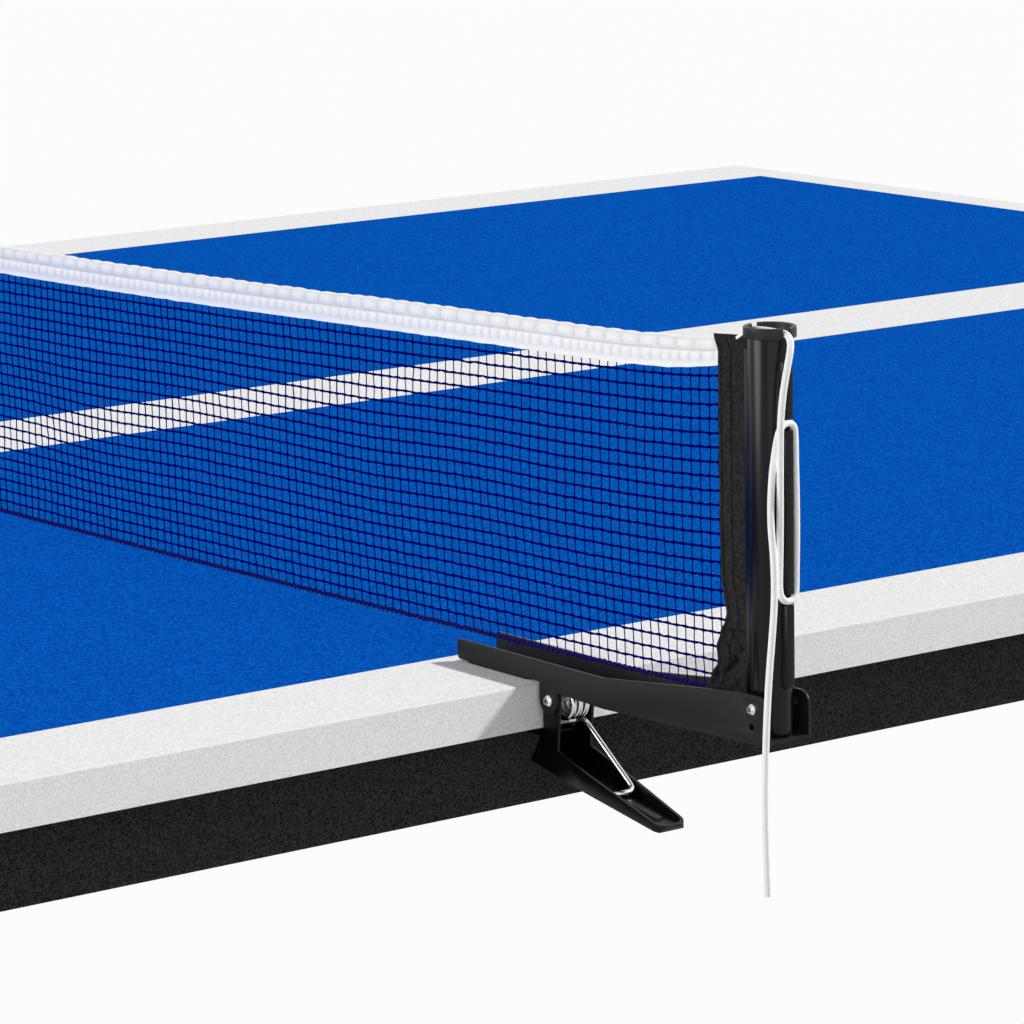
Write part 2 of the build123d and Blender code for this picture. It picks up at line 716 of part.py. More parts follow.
def post_cap():
    """Dished plastic cap plugged into the post, with a groove for the cord across its rim."""
    with BuildPart() as cap:
        with BuildSketch(Plane.XY.offset(HEIGHT + POST_TOP - CAP_PLUG)):
            with Locations((0, at_edge(POST, 0)[0])):
                Circle(POST_R - POST_WALL - CAP_FIT)
        extrude(amount=CAP_PLUG)
        with BuildSketch(Plane.XY.offset(HEIGHT + POST_TOP)):
            with Locations((0, at_edge(POST, 0)[0])):
                Circle(CAP_R)
        extrude(amount=CAP_TOP - POST_TOP)
        with BuildSketch(Plane.XY.offset(HEIGHT + CAP_TOP)):
            with Locations((0, at_edge(POST, 0)[0])):
                Circle(CAP_DISH_R)
        extrude(amount=-CAP_DISH, mode=Mode.SUBTRACT)
        fillet(cap.faces().sort_by(Axis.Z)[-1].edges(), CAP_ROUND)
        with BuildSketch(Plane.XZ):
            with Locations((0, HEIGHT + POST_TOP + CAP_TOP / 2)):
                Rectangle(2 * GROOVE_HALF, CAP_TOP)
        extrude(amount=WIDTH, mode=Mode.SUBTRACT)
    return cap.part


def net_sleeve():
    """Black cloth sleeve sewn to the net's end, wider at the foot, with a tongue in the post's slot."""
    foot = HEM_END - HEM_R
    slot_floor = POST + POST_R
    outer = slot_floor + LIP + SEAT_GAP
    levels = ((foot, SLEEVE_FLARE), (foot + SLEEVE_GATHER, 0), (SLEEVE_TOP - SLEEVE_MOUTH_DROP, 0),
              (SLEEVE_TOP, SLEEVE_MOUTH))
    with BuildPart() as sleeve:
        for level, flare in levels:
            inner = NET_END + flare
            with BuildSketch(Plane.XY.offset(HEIGHT + level)):
                with Locations((0, at_edge((inner + outer) / 2, 0)[0])):
                    RectangleRounded(SLEEVE_THICK + flare * SLEEVE_SWELL, inner - outer, SLEEVE_ROUND)
        loft(ruled=True)
        with BuildSketch(Plane.XY.offset(HEIGHT + foot)):
            with Locations((0, at_edge(slot_floor + SEAT_GAP + LIP / 2 + SLEEVE_ROUND / 2, 0)[0])):
                Rectangle(2 * (LIP_SLOT - WELD_GAP), LIP + SLEEVE_ROUND)
        extrude(amount=LIP_TOP - foot)
    return sleeve.part


def net_arc(end_z, mid_z):
    """Ends and middle of one of the net's long lines, on the net's own plane."""
    end = EDGE - NET_END
    return (0, -end, HEIGHT + end_z), (0, 0, HEIGHT + mid_z), (0, end, HEIGHT + end_z)


def net_outline(top_end, top_mid, low_end, low_mid):
    """Closed outline between two sagging lines and the net's two ends."""
    upper = net_arc(top_end, top_mid)
    lower = net_arc(low_end, low_mid)
    return Wire([
        Edge.make_three_point_arc(*upper),
        Edge.make_line(upper[2], lower[2]),
        Edge.make_three_point_arc(*reversed(lower)),
        Edge.make_line(lower[0], upper[0]),
    ])


def net_mesh():
    """Net as one holed face between the hem and the tape, with a coarse grid of gaps."""
    low_end = HEM_END + HEM_R
    low_mid = HEM_MID + HEM_R
    top_end = TAPE_END_TOP - TAPE
    top_mid = TAPE_MID_TOP - TAPE
    end = EDGE - NET_END

    def grid_point(column, row):
        """Crossing of two strands, by fractions of the net's length and height."""
        y = end * (2 * column - 1)
        bow = (y / end) ** 2
        low = low_mid + (low_end - low_mid) * bow
        top = top_mid + (top_end - top_mid) * bow
        return y, HEIGHT + low + (top - low) * row

    gaps = []
    for column in range(NET_COLUMNS):
        for row in range(NET_ROWS):
            left, low = grid_point(column / NET_COLUMNS, row / NET_ROWS)
            right, high = grid_point((column + 1) / NET_COLUMNS, (row + 1) / NET_ROWS)
            low_right = grid_point((column + 1) / NET_COLUMNS, row / NET_ROWS)[1]
            high_left = grid_point(column / NET_COLUMNS, (row + 1) / NET_ROWS)[1]
            corners = [(left + STRAND, low + STRAND), (right - STRAND, low_right + STRAND),
                       (right - STRAND, high - STRAND), (left + STRAND, high_left - STRAND)]
            gaps.append(Wire.make_polygon([(0, y, z) for y, z in corners]))
    face = Face(net_outline(top_end, top_mid, low_end, low_mid), gaps)
    with BuildPart() as mesh:
        extrude(to_extrude=face, amount=STRAND / 2, both=True)
    return mesh.part


def net_tape():
    """White tape folded over the net's upper edge."""
    face = Face(net_outline(TAPE_END_TOP, TAPE_MID_TOP, TAPE_END_TOP - TAPE, TAPE_MID_TOP - TAPE))
    with BuildPart() as tape:
        extrude(to_extrude=face, amount=TAPE_THICK / 2, both=True)
    return tape.part


def net_hem():
    """Corded hem along the net's lower edge."""
    with BuildPart() as hem:
        with BuildLine() as run:
            ThreePointArc(*net_arc(HEM_END, HEM_MID))
        with BuildSketch(Plane(origin=run.line @ 0, z_dir=run.line % 0)):
            Circle(HEM_R)
        sweep()
    return hem.part


# Tension cord: out of the sleeve, over the cap, once through the slits of the post's fin, then hanging free.
# Each point is a distance along the table, inside the near edge, and above the surface.
CORD_ROUTE = [
    (0, -138.2, 181.3), (0, -142.6, 184.2), (0, -147.4, 186.4), (0, -155.5, 186.8), (0, -164, 186.9),
    (0, -171.4, 187), (-0.7, -175.2, 184.6), (-2.4, -177, 180.2), (-4.8, -177.6, 173), (-7.4, -177.3, 160.5),
    (-8.6, -177, 146.5), (-8.2, -176.3, 131), (-7.2, -175, 114), (-6.4, -173.8, 98), (-6, -173, 86),
    (-5.9, -172.5, 78), (-5.8, -172.3, 72.2), (-4.8, -172.2, 68.5), (-2.2, -172.1, 66.2), (1.2, -172.1, 66),
    (3.7, -171.8, 67.8), (4.6, -171.5, 71.3), (4.7, -171.4, 78), (4.8, -171.6, 87), (4.9, -171.8, 101),
    (4.8, -171.7, 117), (4.7, -171.5, 129), (4.7, -171.4, 136.4), (4.6, -171.4, 141.8), (3.7, -171.7, 145.3),
    (1.2, -172, 147), (-2.2, -172, 146.8), (-4.8, -172.1, 144.5), (-6.4, -172.2, 140.4), (-8, -172.4, 134),
    (-10.2, -172.7, 123), (-11.6, -173.2, 105), (-10.8, -174.6, 87), (-11.2, -175.5, 70), (-13, -175.8, 53),
    (-15, -175.8, 36), (-16.5, -175.6, 15), (-17.4, -175.4, -9), (-17.4, -175.2, -33), (-16.7, -175.2, -53),
    (-16.2, -175.2, -67),
]


def tension_cord():
    """Cord tube of straight runs and tangent arcs along the route."""
    points = [Vector(x, *at_edge(t, z)) for x, t, z in CORD_ROUTE]
    runs = [following - point for point, following in zip(points, points[1:])]
    radii = []
    for run, following in zip(runs, runs[1:]):
        turn = radians(run.get_angle(following))
        radii.append(CORD_BEND_SHARE * min(run.length, following.length) / tan(turn / 2))
    with BuildPart() as cord:
        with BuildLine() as path:
            FilletPolyline(*points, radius=radii)
        with BuildSketch(Plane(origin=path.line @ 0, z_dir=path.line % 0)):
            Circle(CORD_R)
        sweep()
    length = path.wires()[0].length
    gap = least_gap(path.wires()[0], 6 * CORD_R, 2 * CORD_R)
    print("cord: radii", [round(radius, 1) for radius in radii])
    print(f"cord: length {length:.0f} mm, volume ratio {cord.part.volume / (pi * CORD_R**2 * length):.3f}")
    print(f"cord: least gap to itself {gap:.2f} mm")
    return cord.part


# The two halves of the table
for half, side in HALVES.items():
    keep(half_board(side), f"top_board_{half}")
    keep(edge_band(side), f"edge_band_{half}")
    keep(side_rail(side, -1), f"side_rail_near_{half}")
    keep(side_rail(side, 1), f"side_rail_far_{half}")
    keep(end_rail(side), f"end_rail_{half}")
    keep(inner_rail(side), f"inner_rail_{half}")
keep(joining_plates(), "joining_plates")
keep(joining_bolts(), "joining_bolts")

# The leg frames and their stays
lower_face = TUBE_R + STAY_GAP
upper_face = lower_face + STAY_THICK + LINK_GAP
for half, side in HALVES.items():
    for frame, (frame_x, leg_y, fold, drops) in FRAMES.items():
        x = side * frame_x
        leg_pivot, knee, table_pivot = stay_pivots(x, side * fold)
        keep(leg_tubes(x, leg_y), f"legs_{frame}_{half}")
        keep(crossbars(x, leg_y, drops), f"crossbars_{frame}_{half}")
        keep(foot_caps(x, leg_y), f"feet_{frame}_{half}")
        lower = stay_link(knee, leg_pivot, side * fold, leg_y + lower_face, leg_pivot, False)
        upper = stay_link(knee, table_pivot, side * fold, leg_y + upper_face, table_pivot, True)
        keep(lower, f"stay_lower_{frame}_{half}")
        keep(upper, f"stay_upper_{frame}_{half}")
keep(hinge_brackets(), "hinge_brackets")
keep(hinge_pins(), "hinge_pins")
keep(stay_brackets(upper_face), "stay_brackets")

# The net clamps
keep_pair(clamp_arm(), "clamp_arm")
keep_both(jaw_pad(0, PAD, UPPER_PAD, ARM_HALF - STEEL), "upper_jaw_pads")
keep_pair(clamp_lever(), "clamp_lever")
keep_pair(jaw_pad(-BOARD - LOWER_PAD_THICK, LOWER_PAD_THICK, LOWER_PAD, LEVER_HALF - STEEL), "lower_jaw_pad")
keep_both(cross_rivet(*PIVOT, ARM_HALF + RIVET_PLAY, PIVOT_R, RIVET_HEAD_R, RIVET_HEAD), "pivot_rivets")
keep_pair(torsion_spring(), "torsion_spring")
keep_pair(net_post(), "net_post")
keep_both(post_cap(), "post_caps")
keep_both(cross_rivet(POST, POST_RIVET, ARM_HALF, POST_RIVET_R, POST_HEAD_R, RIVET_HEAD), "post_rivets")

# The net
keep(net_mesh(), "net_mesh")
keep(net_tape(), "net_top_tape")
keep(net_hem(), "net_hem")
keep_pair(net_sleeve(), "net_sleeve")
keep(tension_cord(), "tension_cord")
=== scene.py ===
"""Looks of a ping pong table with a clamp-on net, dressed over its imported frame.

Every piece is in metres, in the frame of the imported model: X along the table, Y along the net
and Z up. Sizes that a maker would write down are fields in millimetres.
"""

import logging
import math
from collections.abc import Callable, Iterable, Sequence
from dataclasses import dataclass
from enum import Enum

import bmesh
import bpy
from mathutils import Matrix, Vector, noise


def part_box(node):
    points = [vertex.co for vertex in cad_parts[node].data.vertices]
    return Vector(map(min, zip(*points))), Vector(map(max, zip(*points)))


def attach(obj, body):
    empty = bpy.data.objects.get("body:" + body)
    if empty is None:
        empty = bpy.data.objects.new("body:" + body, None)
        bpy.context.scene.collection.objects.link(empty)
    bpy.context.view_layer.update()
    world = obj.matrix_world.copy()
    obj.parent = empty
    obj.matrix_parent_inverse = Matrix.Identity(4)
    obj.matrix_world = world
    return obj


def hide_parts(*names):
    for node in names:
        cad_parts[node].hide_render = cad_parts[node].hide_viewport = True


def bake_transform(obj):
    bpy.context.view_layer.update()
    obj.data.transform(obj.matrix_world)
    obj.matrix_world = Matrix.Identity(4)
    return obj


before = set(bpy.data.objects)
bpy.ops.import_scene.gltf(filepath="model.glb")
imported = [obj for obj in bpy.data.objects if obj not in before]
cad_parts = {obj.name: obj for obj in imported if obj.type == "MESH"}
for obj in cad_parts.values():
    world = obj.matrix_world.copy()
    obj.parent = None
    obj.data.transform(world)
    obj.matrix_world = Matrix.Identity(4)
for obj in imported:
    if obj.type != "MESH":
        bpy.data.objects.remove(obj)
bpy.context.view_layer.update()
NODES: dict[str, bpy.types.Object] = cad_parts
MM = 0.001
WHITE = (1.0, 1.0, 1.0, 1.0)
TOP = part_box("edge_band_a")[1].z
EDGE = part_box("edge_band_a")[1].y
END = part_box("edge_band_b")[1].x
# Points of a mesh that are closer than this are one point.
MERGE_MM = 0.002
# Faces that meet at less than the first angle are one face, edges past the second one are rounded,
# and edges past the third one are shaded sharp.
FLAT_DEG = 0.4
SHARP_DEG = 32.0
CREASE_DEG = 40.0
STITCH_R_MM = 0.22
# Distance in the noise from one seed to the next.
SEED_STEP = 7.31
# Blender's wave texture runs through this many radians in a unit of length, at a scale of 1.
WAVE_RADIANS = 20.0

logging.basicConfig(level=logging.INFO, format="%(name)s: %(message)s")
log = logging.getLogger("ping_pong_table")


class Side(Enum):
    """The two ends of the net, with the turn about Z that carries the near clamp to each."""

    NEAR = 0
    FAR = 180

    @property
    def word(self) -> str:
        """Name of the side as the model's nodes write it."""
        return self.name.lower()

    @property
    def turn(self) -> Matrix:
        """Rotation that carries a near piece to this side."""
        return Matrix.Rotation(math.radians(self.value), 4, "Z")


def near(x: float, t: float, z: float) -> Vector:
    """Point by its distance along the table, inside the near edge and above the surface.

    Args:
        x: Millimetres along the table from the net.
        t: Millimetres inside the near edge, negative outside it.
        z: Millimetres above the playing surface.

    Returns:
        The point in metres.
    """
    return Vector((x * MM, -EDGE + t * MM, TOP + z * MM))


def between(value: float, low: float = 0.0) -> float:
    """Value kept between a lower limit and 1."""
    return min(1.0, max(low, value))


def bell(distance: float, width: float) -> float:
    """Height of a bell curve, 1 at its middle, at a distance from there."""
    return math.exp(-((distance / width) ** 2))


def wave_scale(width_mm: float) -> float:
    """Scale of a wave texture whose crests and troughs are each this wide."""
    return math.pi / (width_mm * MM) / WAVE_RADIANS


@dataclass(frozen=True)
class Ripple:
    """Smooth repeatable unevenness: a seed, a height, and waves per unit of two coordinates."""

    seed: float
    height: float
    first: float
    second: float = 0.0

    def at(self, first: float, second: float = 0.0, strand: int = 0) -> float:
        """Unevenness at a place.

        Args:
            first: First coordinate.
            second: Second coordinate.
            strand: Number of a strand, each of which has a ripple of its own.

        Returns:
            A value between about minus and plus the ripple's height.
        """
        place = (self.first * first, self.second * second, SEED_STEP * (self.seed + strand))
        return self.height * noise.noise(Vector(place))


def linear(code: str) -> tuple[float, float, float, float]:
    """Linear colour of an sRGB hex code.

    Args:
        code: Six hex digits after a hash sign.

    Returns:
        Red, green, blue and an alpha of 1.
    """
    parts = [int(code[i : i + 2], 16) / 255 for i in (1, 3, 5)]
    red, green, blue = (p / 12.92 if p <= 0.04045 else ((p + 0.055) / 1.055) ** 2.4 for p in parts)
    return red, green, blue, 1.0


def add(
    owner: bpy.types.Material | bpy.types.World, kind: str, links: dict | None = None, **settings: object
) -> bpy.types.Node:
    """Add a shader node.

    Args:
        owner: Material or world that gets the node.
        kind: Blender's name for the node's type.
        links: Value or output socket for each input, by the input's name or number.
        settings: The node's own properties.

    Returns:
        The new node.
    """
    node = owner.node_tree.nodes.new(kind)
    for name, value in settings.items():
        setattr(node, name, value)
    for name, value in (links or {}).items():
        if isinstance(value, bpy.types.NodeSocket):
            owner.node_tree.links.new(value, node.inputs[name])
        else:
            node.inputs[name].default_value = value
    return node


@dataclass(frozen=True)
class Finish:
    """A surface whose shade and roughness vary with one fine grain."""

    name: str
    dark: str
    light: str
    roughness: tuple[float, float]
    grain_mm: float
    bump_mm: float = 0.0
    metallic: float = 0.0
    specular: float = 0.5
    spread: float = 0.25

    def material(self) -> bpy.types.Material:
        """Material of this finish, made once.

        Returns:
            The material.
        """
        made = bpy.data.materials.get(self.name)
        if made is None:
            made = bpy.data.materials.new(self.name)
            made.use_nodes = True
            self.paint(made, made.node_tree.nodes["Principled BSDF"])
        return made

    def grain(self, made: bpy.types.Material) -> bpy.types.NodeSocket:
        """Fine noise at the grain's size, stretched over its full contrast.

        Args:
            made: Material that gets the nodes.

        Returns:
            The grain's factor, from 0 to 1.
        """
        place = add(made, "ShaderNodeTexCoord").outputs["Object"]
        scale = 1 / (self.grain_mm * MM)
        fine = add(made, "ShaderNodeTexNoise", {"Vector": place, "Scale": scale, "Detail": 2.0})
        limits = {"From Min": 0.5 - self.spread, "From Max": 0.5 + self.spread}
        return add(made, "ShaderNodeMapRange", {"Value": fine.outputs["Fac"], **limits}).outputs[0]

    def colour(self, made: bpy.types.Material, grain: bpy.types.NodeSocket) -> bpy.types.NodeSocket:
        """Colour between the two shades.

        Args:
            made: Material that gets the nodes.
            grain: Factor of the grain.

        Returns:
            The colour's socket.
        """
        shades = {0: grain, 6: linear(self.dark), 7: linear(self.light)}
        return add(made, "ShaderNodeMix", shades, data_type="RGBA").outputs[2]

    def paint(self, made: bpy.types.Material, shader: bpy.types.Node) -> None:
        """Fill a new material.

        Args:
            made: Material to fill.
            shader: Its principled shader.
        """
        grain = self.grain(made)
        tree = made.node_tree
        low, high = self.roughness
        rough = add(made, "ShaderNodeMapRange", {"Value": grain, "To Min": low, "To Max": high})
        tree.links.new(rough.outputs[0], shader.inputs["Roughness"])
        tree.links.new(self.colour(made, grain), shader.inputs["Base Color"])
        shader.inputs["Metallic"].default_value = self.metallic
        shader.inputs["Specular IOR Level"].default_value = self.specular
        if self.bump_mm:
            bump = add(made, "ShaderNodeBump", {"Height": grain, "Distance": self.bump_mm * MM})
            tree.links.new(bump.outputs[0], shader.inputs["Normal"])


@dataclass(frozen=True)
class LinedPaint(Finish):
    """Rolled table paint with white court lines, over bare board on the underside."""

    side_line_mm: float = 75.0
    end_line_mm: float = 35.0
    centre_line_mm: float = 94.0
    paint_deep_mm: float = 1.0
    line_dark: str = "#dadada"
    line_light: str = "#ffffff"
    underside: str = "#17120d"

    def colour(self, made: bpy.types.Material, grain: bpy.types.NodeSocket) -> bpy.types.NodeSocket:
        """Blue paint, white lines by place on the table, and dark board under the surface.

        Args:
            made: Material that gets the nodes.
            grain: Factor of the grain.

        Returns:
            The colour's socket.
        """
        place = add(made, "ShaderNodeTexCoord").outputs["Object"]
        axes = add(made, "ShaderNodeSeparateXYZ", {0: place}).outputs
        along = add(made, "ShaderNodeMath", {0: axes[0]}, operation="ABSOLUTE").outputs[0]
        across = add(made, "ShaderNodeMath", {0: axes[1]}, operation="ABSOLUTE").outputs[0]
        lined = None
        for distance, limit, test in (
            (along, END - self.end_line_mm * MM, "GREATER_THAN"),
            (across, EDGE - self.side_line_mm * MM, "GREATER_THAN"),
            (across, self.centre_line_mm / 2 * MM, "LESS_THAN"),
        ):
            line = add(made, "ShaderNodeMath", {0: distance, 1: limit}, operation=test).outputs[0]
            if lined is not None:
                line = add(made, "ShaderNodeMath", {0: lined, 1: line}, operation="MAXIMUM").outputs[0]
            lined = line
        shades = {0: grain, 6: linear(self.line_dark), 7: linear(self.line_light)}
        white = add(made, "ShaderNodeMix", shades, data_type="RGBA").outputs[2]
        shades = {0: lined, 6: super().colour(made, grain), 7: white}
        painted = add(made, "ShaderNodeMix", shades, data_type="RGBA").outputs[2]
        depth = {0: axes[2], 1: TOP - self.paint_deep_mm * MM}
        surface = add(made, "ShaderNodeMath", depth, operation="GREATER_THAN").outputs[0]
        shades = {0: surface, 6: linear(self.underside), 7: painted}
        return add(made, "ShaderNodeMix", shades, data_type="RGBA").outputs[2]


@dataclass(frozen=True)
class WovenCloth(Finish):
    """Cloth with a plain weave that follows the piece's own UV map, in metres, and painted shade from the
    mesh's fold attribute.
    """

    thread_mm: float = 0.6
    weave_mm: float = 0.12
    unevenness: float = 0.6
    sheen: float = 0.3
    # Colour of the painted shade in the folds and along the seams.
    fold_shade: str = "#000000"

    def colour(self, made: bpy.types.Material, grain: bpy.types.NodeSocket) -> bpy.types.NodeSocket:
        """Colour between the two shades, darkened toward the fold shade by the mesh's fold attribute:
        painted shade in the folds and along the seams.

        Args:
            made: Material that gets the nodes.
            grain: Factor of the grain.

        Returns:
            The colour's socket.
        """
        # The fold attribute mixes in the painted shade.
        fold = add(made, "ShaderNodeAttribute", attribute_name="fold").outputs["Fac"]
        shades = {0: fold, 6: super().colour(made, grain), 7: linear(self.fold_shade)}
        return add(made, "ShaderNodeMix", shades, data_type="RGBA").outputs[2]

    def paint(self, made: bpy.types.Material, shader: bpy.types.Node) -> None:
        """Fill a new material with the grain, then add the weave and a soft sheen.

        Args:
            made: Material to fill.
            shader: Its principled shader.
        """
        super().paint(made, shader)
        shader.inputs["Sheen Weight"].default_value = self.sheen
        place = add(made, "ShaderNodeTexCoord").outputs["UV"]
        threads = {
            "Vector": place,
            "Scale": wave_scale(self.thread_mm),
            "Distortion": self.unevenness,
            "Detail": 1.0,
        }
        warp, weft = (
            add(made, "ShaderNodeTexWave", threads, bands_direction=way).outputs["Fac"]
            for way in ("X", "Y")
        )
        crossed = add(made, "ShaderNodeMath", {0: warp, 1: weft}, operation="MULTIPLY").outputs[0]
        bump = add(made, "ShaderNodeBump", {"Height": crossed, "Distance": self.weave_mm * MM})
        made.node_tree.links.new(bump.outputs[0], shader.inputs["Normal"])


@dataclass(frozen=True)
class Braid(Finish):
    """Round braid whose plaits cross at a slant, read in the space that the cord hangs in."""

    plait_mm: float = 2.4
    relief_mm: float = 0.12
    unevenness: float = 0.4

    def paint(self, made: bpy.types.Material, shader: bpy.types.Node) -> None:
        """Fill a new material with the grain, then add the crossing plaits.

        Args:
            made: Material to fill.
            shader: Its principled shader.
        """
        super().paint(made, shader)
        place = add(made, "ShaderNodeTexCoord").outputs["Object"]
        scale = wave_scale(self.plait_mm)
        plaits = []
        for way in (-1.0, 1.0):
            slant = add(made, "ShaderNodeMapping", {"Vector": place, "Scale": (way, way, 1.0)}).outputs[0]
            slanted = {"Vector": slant, "Scale": scale, "Distortion": self.unevenness}
            plait = add(made, "ShaderNodeTexWave", slanted, bands_direction="DIAGONAL")
            plaits.append(plait.outputs["Fac"])
        crossed = add(made, "ShaderNodeMath", dict(enumerate(plaits)), operation="MAXIMUM").outputs[0]
        bump = add(made, "ShaderNodeBump", {"Height": crossed, "Distance": self.relief_mm * MM})
        made.node_tree.links.new(bump.outputs[0], shader.inputs["Normal"])


# Rolled acrylic paint on fibreboard: flat colour with a fine roller grain. The grain is drawn
# about three times as coarse as it is, so that it shows.
TABLE_PAINT = LinedPaint("rolled_table_paint", "#00267a", "#0c70de", (0.7, 0.9), 1.3, 0.03, specular=0.0)
# Extruded PVC edging: white and slightly pearly with an orange-peel skin.
EDGE_PVC = Finish("extruded_white_pvc", "#d6d6d6", "#fdfdfd", (0.5, 0.7), 0.9, 0.04, specular=0.1)
# Powder coat on folded rails: matte black with a sandy grain, drawn about twice as coarse as it is.
RAIL_COAT = Finish(
    "powder_coated_rail", "#020202", "#4a4a4a", (0.7, 0.9), 0.6, 0.05, specular=0.04, spread=0.15
)
# Powder coat on drawn tube: satin black.
TUBE_COAT = Finish("powder_coated_tube", "#0c0c0d", "#222224", (0.45, 0.6), 0.7, 0.03, specular=0.2)
# Baked enamel on pressed steel: deep black with a soft gloss over a very fine orange peel. The arm's
# copy is painted lighter and the lever's darker: painted light on the arm, painted shade on the lever.
ARM_ENAMEL_PAINTED_LIGHT = Finish("baked_enamel_arm_painted_light", "#191919", "#262626", (0.34, 0.42), 0.5, 0.004, specular=0.12)
LEVER_ENAMEL_PAINTED_SHADE = Finish("baked_enamel_lever_painted_shade", "#020202", "#090909", (0.26, 0.34), 0.5, 0.004, specular=0.17)
POST_ENAMEL = Finish("baked_enamel_post", "#050505", "#0b0b0b", (0.2, 0.26), 0.5, 0.004, specular=0.2)
# Bright zinc plate: cool metal with a faint spangle.
ZINC = Finish("zinc_plate", "#b4b7ba", "#e4e6e8", (0.25, 0.38), 1.2, 0.005, metallic=1.0)
# Bore of a tubular rivet: the same plate, dull and dark, a painted shade where the bore's hollow is.
RIVET_BORE_SHADE = Finish("rivet_bore_painted_shade", "#2c2d2e", "#5a5c5e", (0.5, 0.7), 0.5, metallic=0.6)
# Drawn spring wire: bright steel with fine draw marks.
SPRING_STEEL = Finish("drawn_spring_wire", "#b2b4b6", "#d6d7d8", (0.2, 0.28), 0.5, 0.003, metallic=1.0)
# Moulded rubber: dull black with a dusty grain.
RUBBER = Finish("moulded_rubber", "#0b0b0b", "#242424", (0.7, 0.9), 0.6, 0.04, specular=0.2)
# Moulded nylon: satin black with a fine spark-eroded texture.
NYLON = Finish("moulded_black_nylon", "#161616", "#2a2a2a", (0.36, 0.48), 0.5, 0.02, specular=0.25)
# Twisted nylon thread: deep blue and quite dull.
NET_THREAD = Finish("twisted_net_thread", "#00004c", "#020270", (0.7, 0.9), 0.5, 0.1, specular=0.0)
# Nylon thread wound round the hem's cord: blue-violet and fuzzy.
HEM_THREAD = Finish("wound_hem_thread", "#060440", "#2a1e80", (0.7, 0.9), 0.8, 0.3, specular=0.05)
# Polyester binding tape: bright white plain weave, with grey painted shade in its folds and along its
# seam. On both cloths the weave is drawn about twice as coarse as it is, so that it shows.
TAPE_CLOTH = WovenCloth(
    "gathered_binding_tape",
    "#f2f2f2",
    "#ffffff",
    (0.8, 0.95),
    1.2,
    specular=0.05,
    weave_mm=0.04,
    sheen=0.05,
    fold_shade="#bebebe",
)
# Black drill cloth: dull and dusty with a fine weave, with painted shade in its folds and seams.
SLEEVE_CLOTH = WovenCloth(
    "black_drill_cloth",
    "#0e0e0e",
    "#323231",
    (0.8, 0.95),
    1.6,
    specular=0.05,
    weave_mm=0.08,
    sheen=0.06,
    fold_shade="#040404",
)
# Sewing thread, a shade off the cloth that it holds.
WHITE_STITCH = Finish("white_sewing_thread", "#a4a4a4", "#d0d0d0", (0.7, 0.9), 0.3, specular=0.05)
BLACK_STITCH = Finish("black_sewing_thread", "#030303", "#0c0c0c", (0.7, 0.9), 0.3, specular=0.05)
# Braided polyester cord: bright white plaits with a shade between them.
CORD_BRAID = Braid("braided_white_cord", "#f6f6f6", "#ffffff", (0.8, 0.95), 1.2, specular=0.05)


def dress(finish: Finish, names: Iterable[str]) -> None:
    """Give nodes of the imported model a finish.

    Args:
        finish: Finish to use.
        names: Nodes that get it.
    """
    for name in names:
        node = NODES[name]
        node.data.materials.clear()
        node.data.materials.append(finish.material())
        log.info("%s in %s", name, finish.name)


def new_piece(
    name: str, mesh: bpy.types.Mesh, finish: Finish, body: str = "table", shade: bool = True
) -> bpy.types.Object:
    """Put a finished mesh into the scene.

    Args:
        name: Name of the piece.
        mesh: Its mesh, in place.
        finish: Its finish.
        body: Body that carries it, or nothing for a piece that no body carries.
        shade: Whether it casts a shadow. The net's pieces cast none, as in the photograph.

    Returns:
        The new object.
    """
    mesh.materials.clear()
    mesh.materials.append(finish.material())
    piece = bpy.data.objects.new(name, mesh)
    piece.visible_shadow = shade
    bpy.context.scene.collection.objects.link(piece)
    if body:
        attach(piece, body)
    log.info("%s: %d faces in %s", name, len(mesh.polygons), finish.name)
    return piece


def smooth_mesh(
    name: str, work: bmesh.types.BMesh, crease_deg: float | None = None
) -> bpy.types.Mesh:
    """Turn a bmesh into a smooth-shaded mesh.

    Args:
        name: Name of the mesh.
        work: The bmesh, which is freed.
        crease_deg: Edges that turn more than this stay sharp. Without it none do.

    Returns:
        The mesh.
    """
    mesh = bpy.data.meshes.new(name)
    work.to_mesh(mesh)
    work.free()
    mesh.shade_smooth()
    if crease_deg is not None:
        mesh.set_sharp_from_angle(angle=math.radians(crease_deg))
    return mesh


def merged(node: str) -> bmesh.types.BMesh:
    """Copy of a node's mesh with its loose triangles joined.

    Args:
        node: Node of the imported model.

    Returns:
        The copy, to be freed.
    """
    work = bmesh.new()
    work.from_mesh(NODES[node].data)
    bmesh.ops.remove_doubles(work, verts=work.verts, dist=MERGE_MM * MM)
    return work


def softened(node: str, name: str, finish: Finish, body: str, edge_mm: float) -> None:
    """Replace a node by a copy with its sharp edges rounded, as pressed and moulded edges are.

    Args:
        node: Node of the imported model.
        name: Name of the new piece.
        finish: Its finish.
        body: Body that carries it.
        edge_mm: Size of the rounding.
    """
    work = merged(node)
    bmesh.ops.dissolve_limit(
        work, angle_limit=math.radians(FLAT_DEG), verts=work.verts, edges=work.edges, delimit=set()
    )
    turn = math.radians(SHARP_DEG)
    sharp = [e for e in work.edges if len(e.link_faces) == 2 and e.calc_face_angle() > turn]
    bmesh.ops.bevel(
        work,
        geom=sharp,
        offset=edge_mm * MM,
        affect="EDGES",
        segments=2,
        profile=0.5,
        material=-1,
        clamp_overlap=True,
    )
    bmesh.ops.triangulate(work, faces=work.faces)
    piece = new_piece(name, smooth_mesh(name, work, CREASE_DEG), finish, body)
    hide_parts(node)


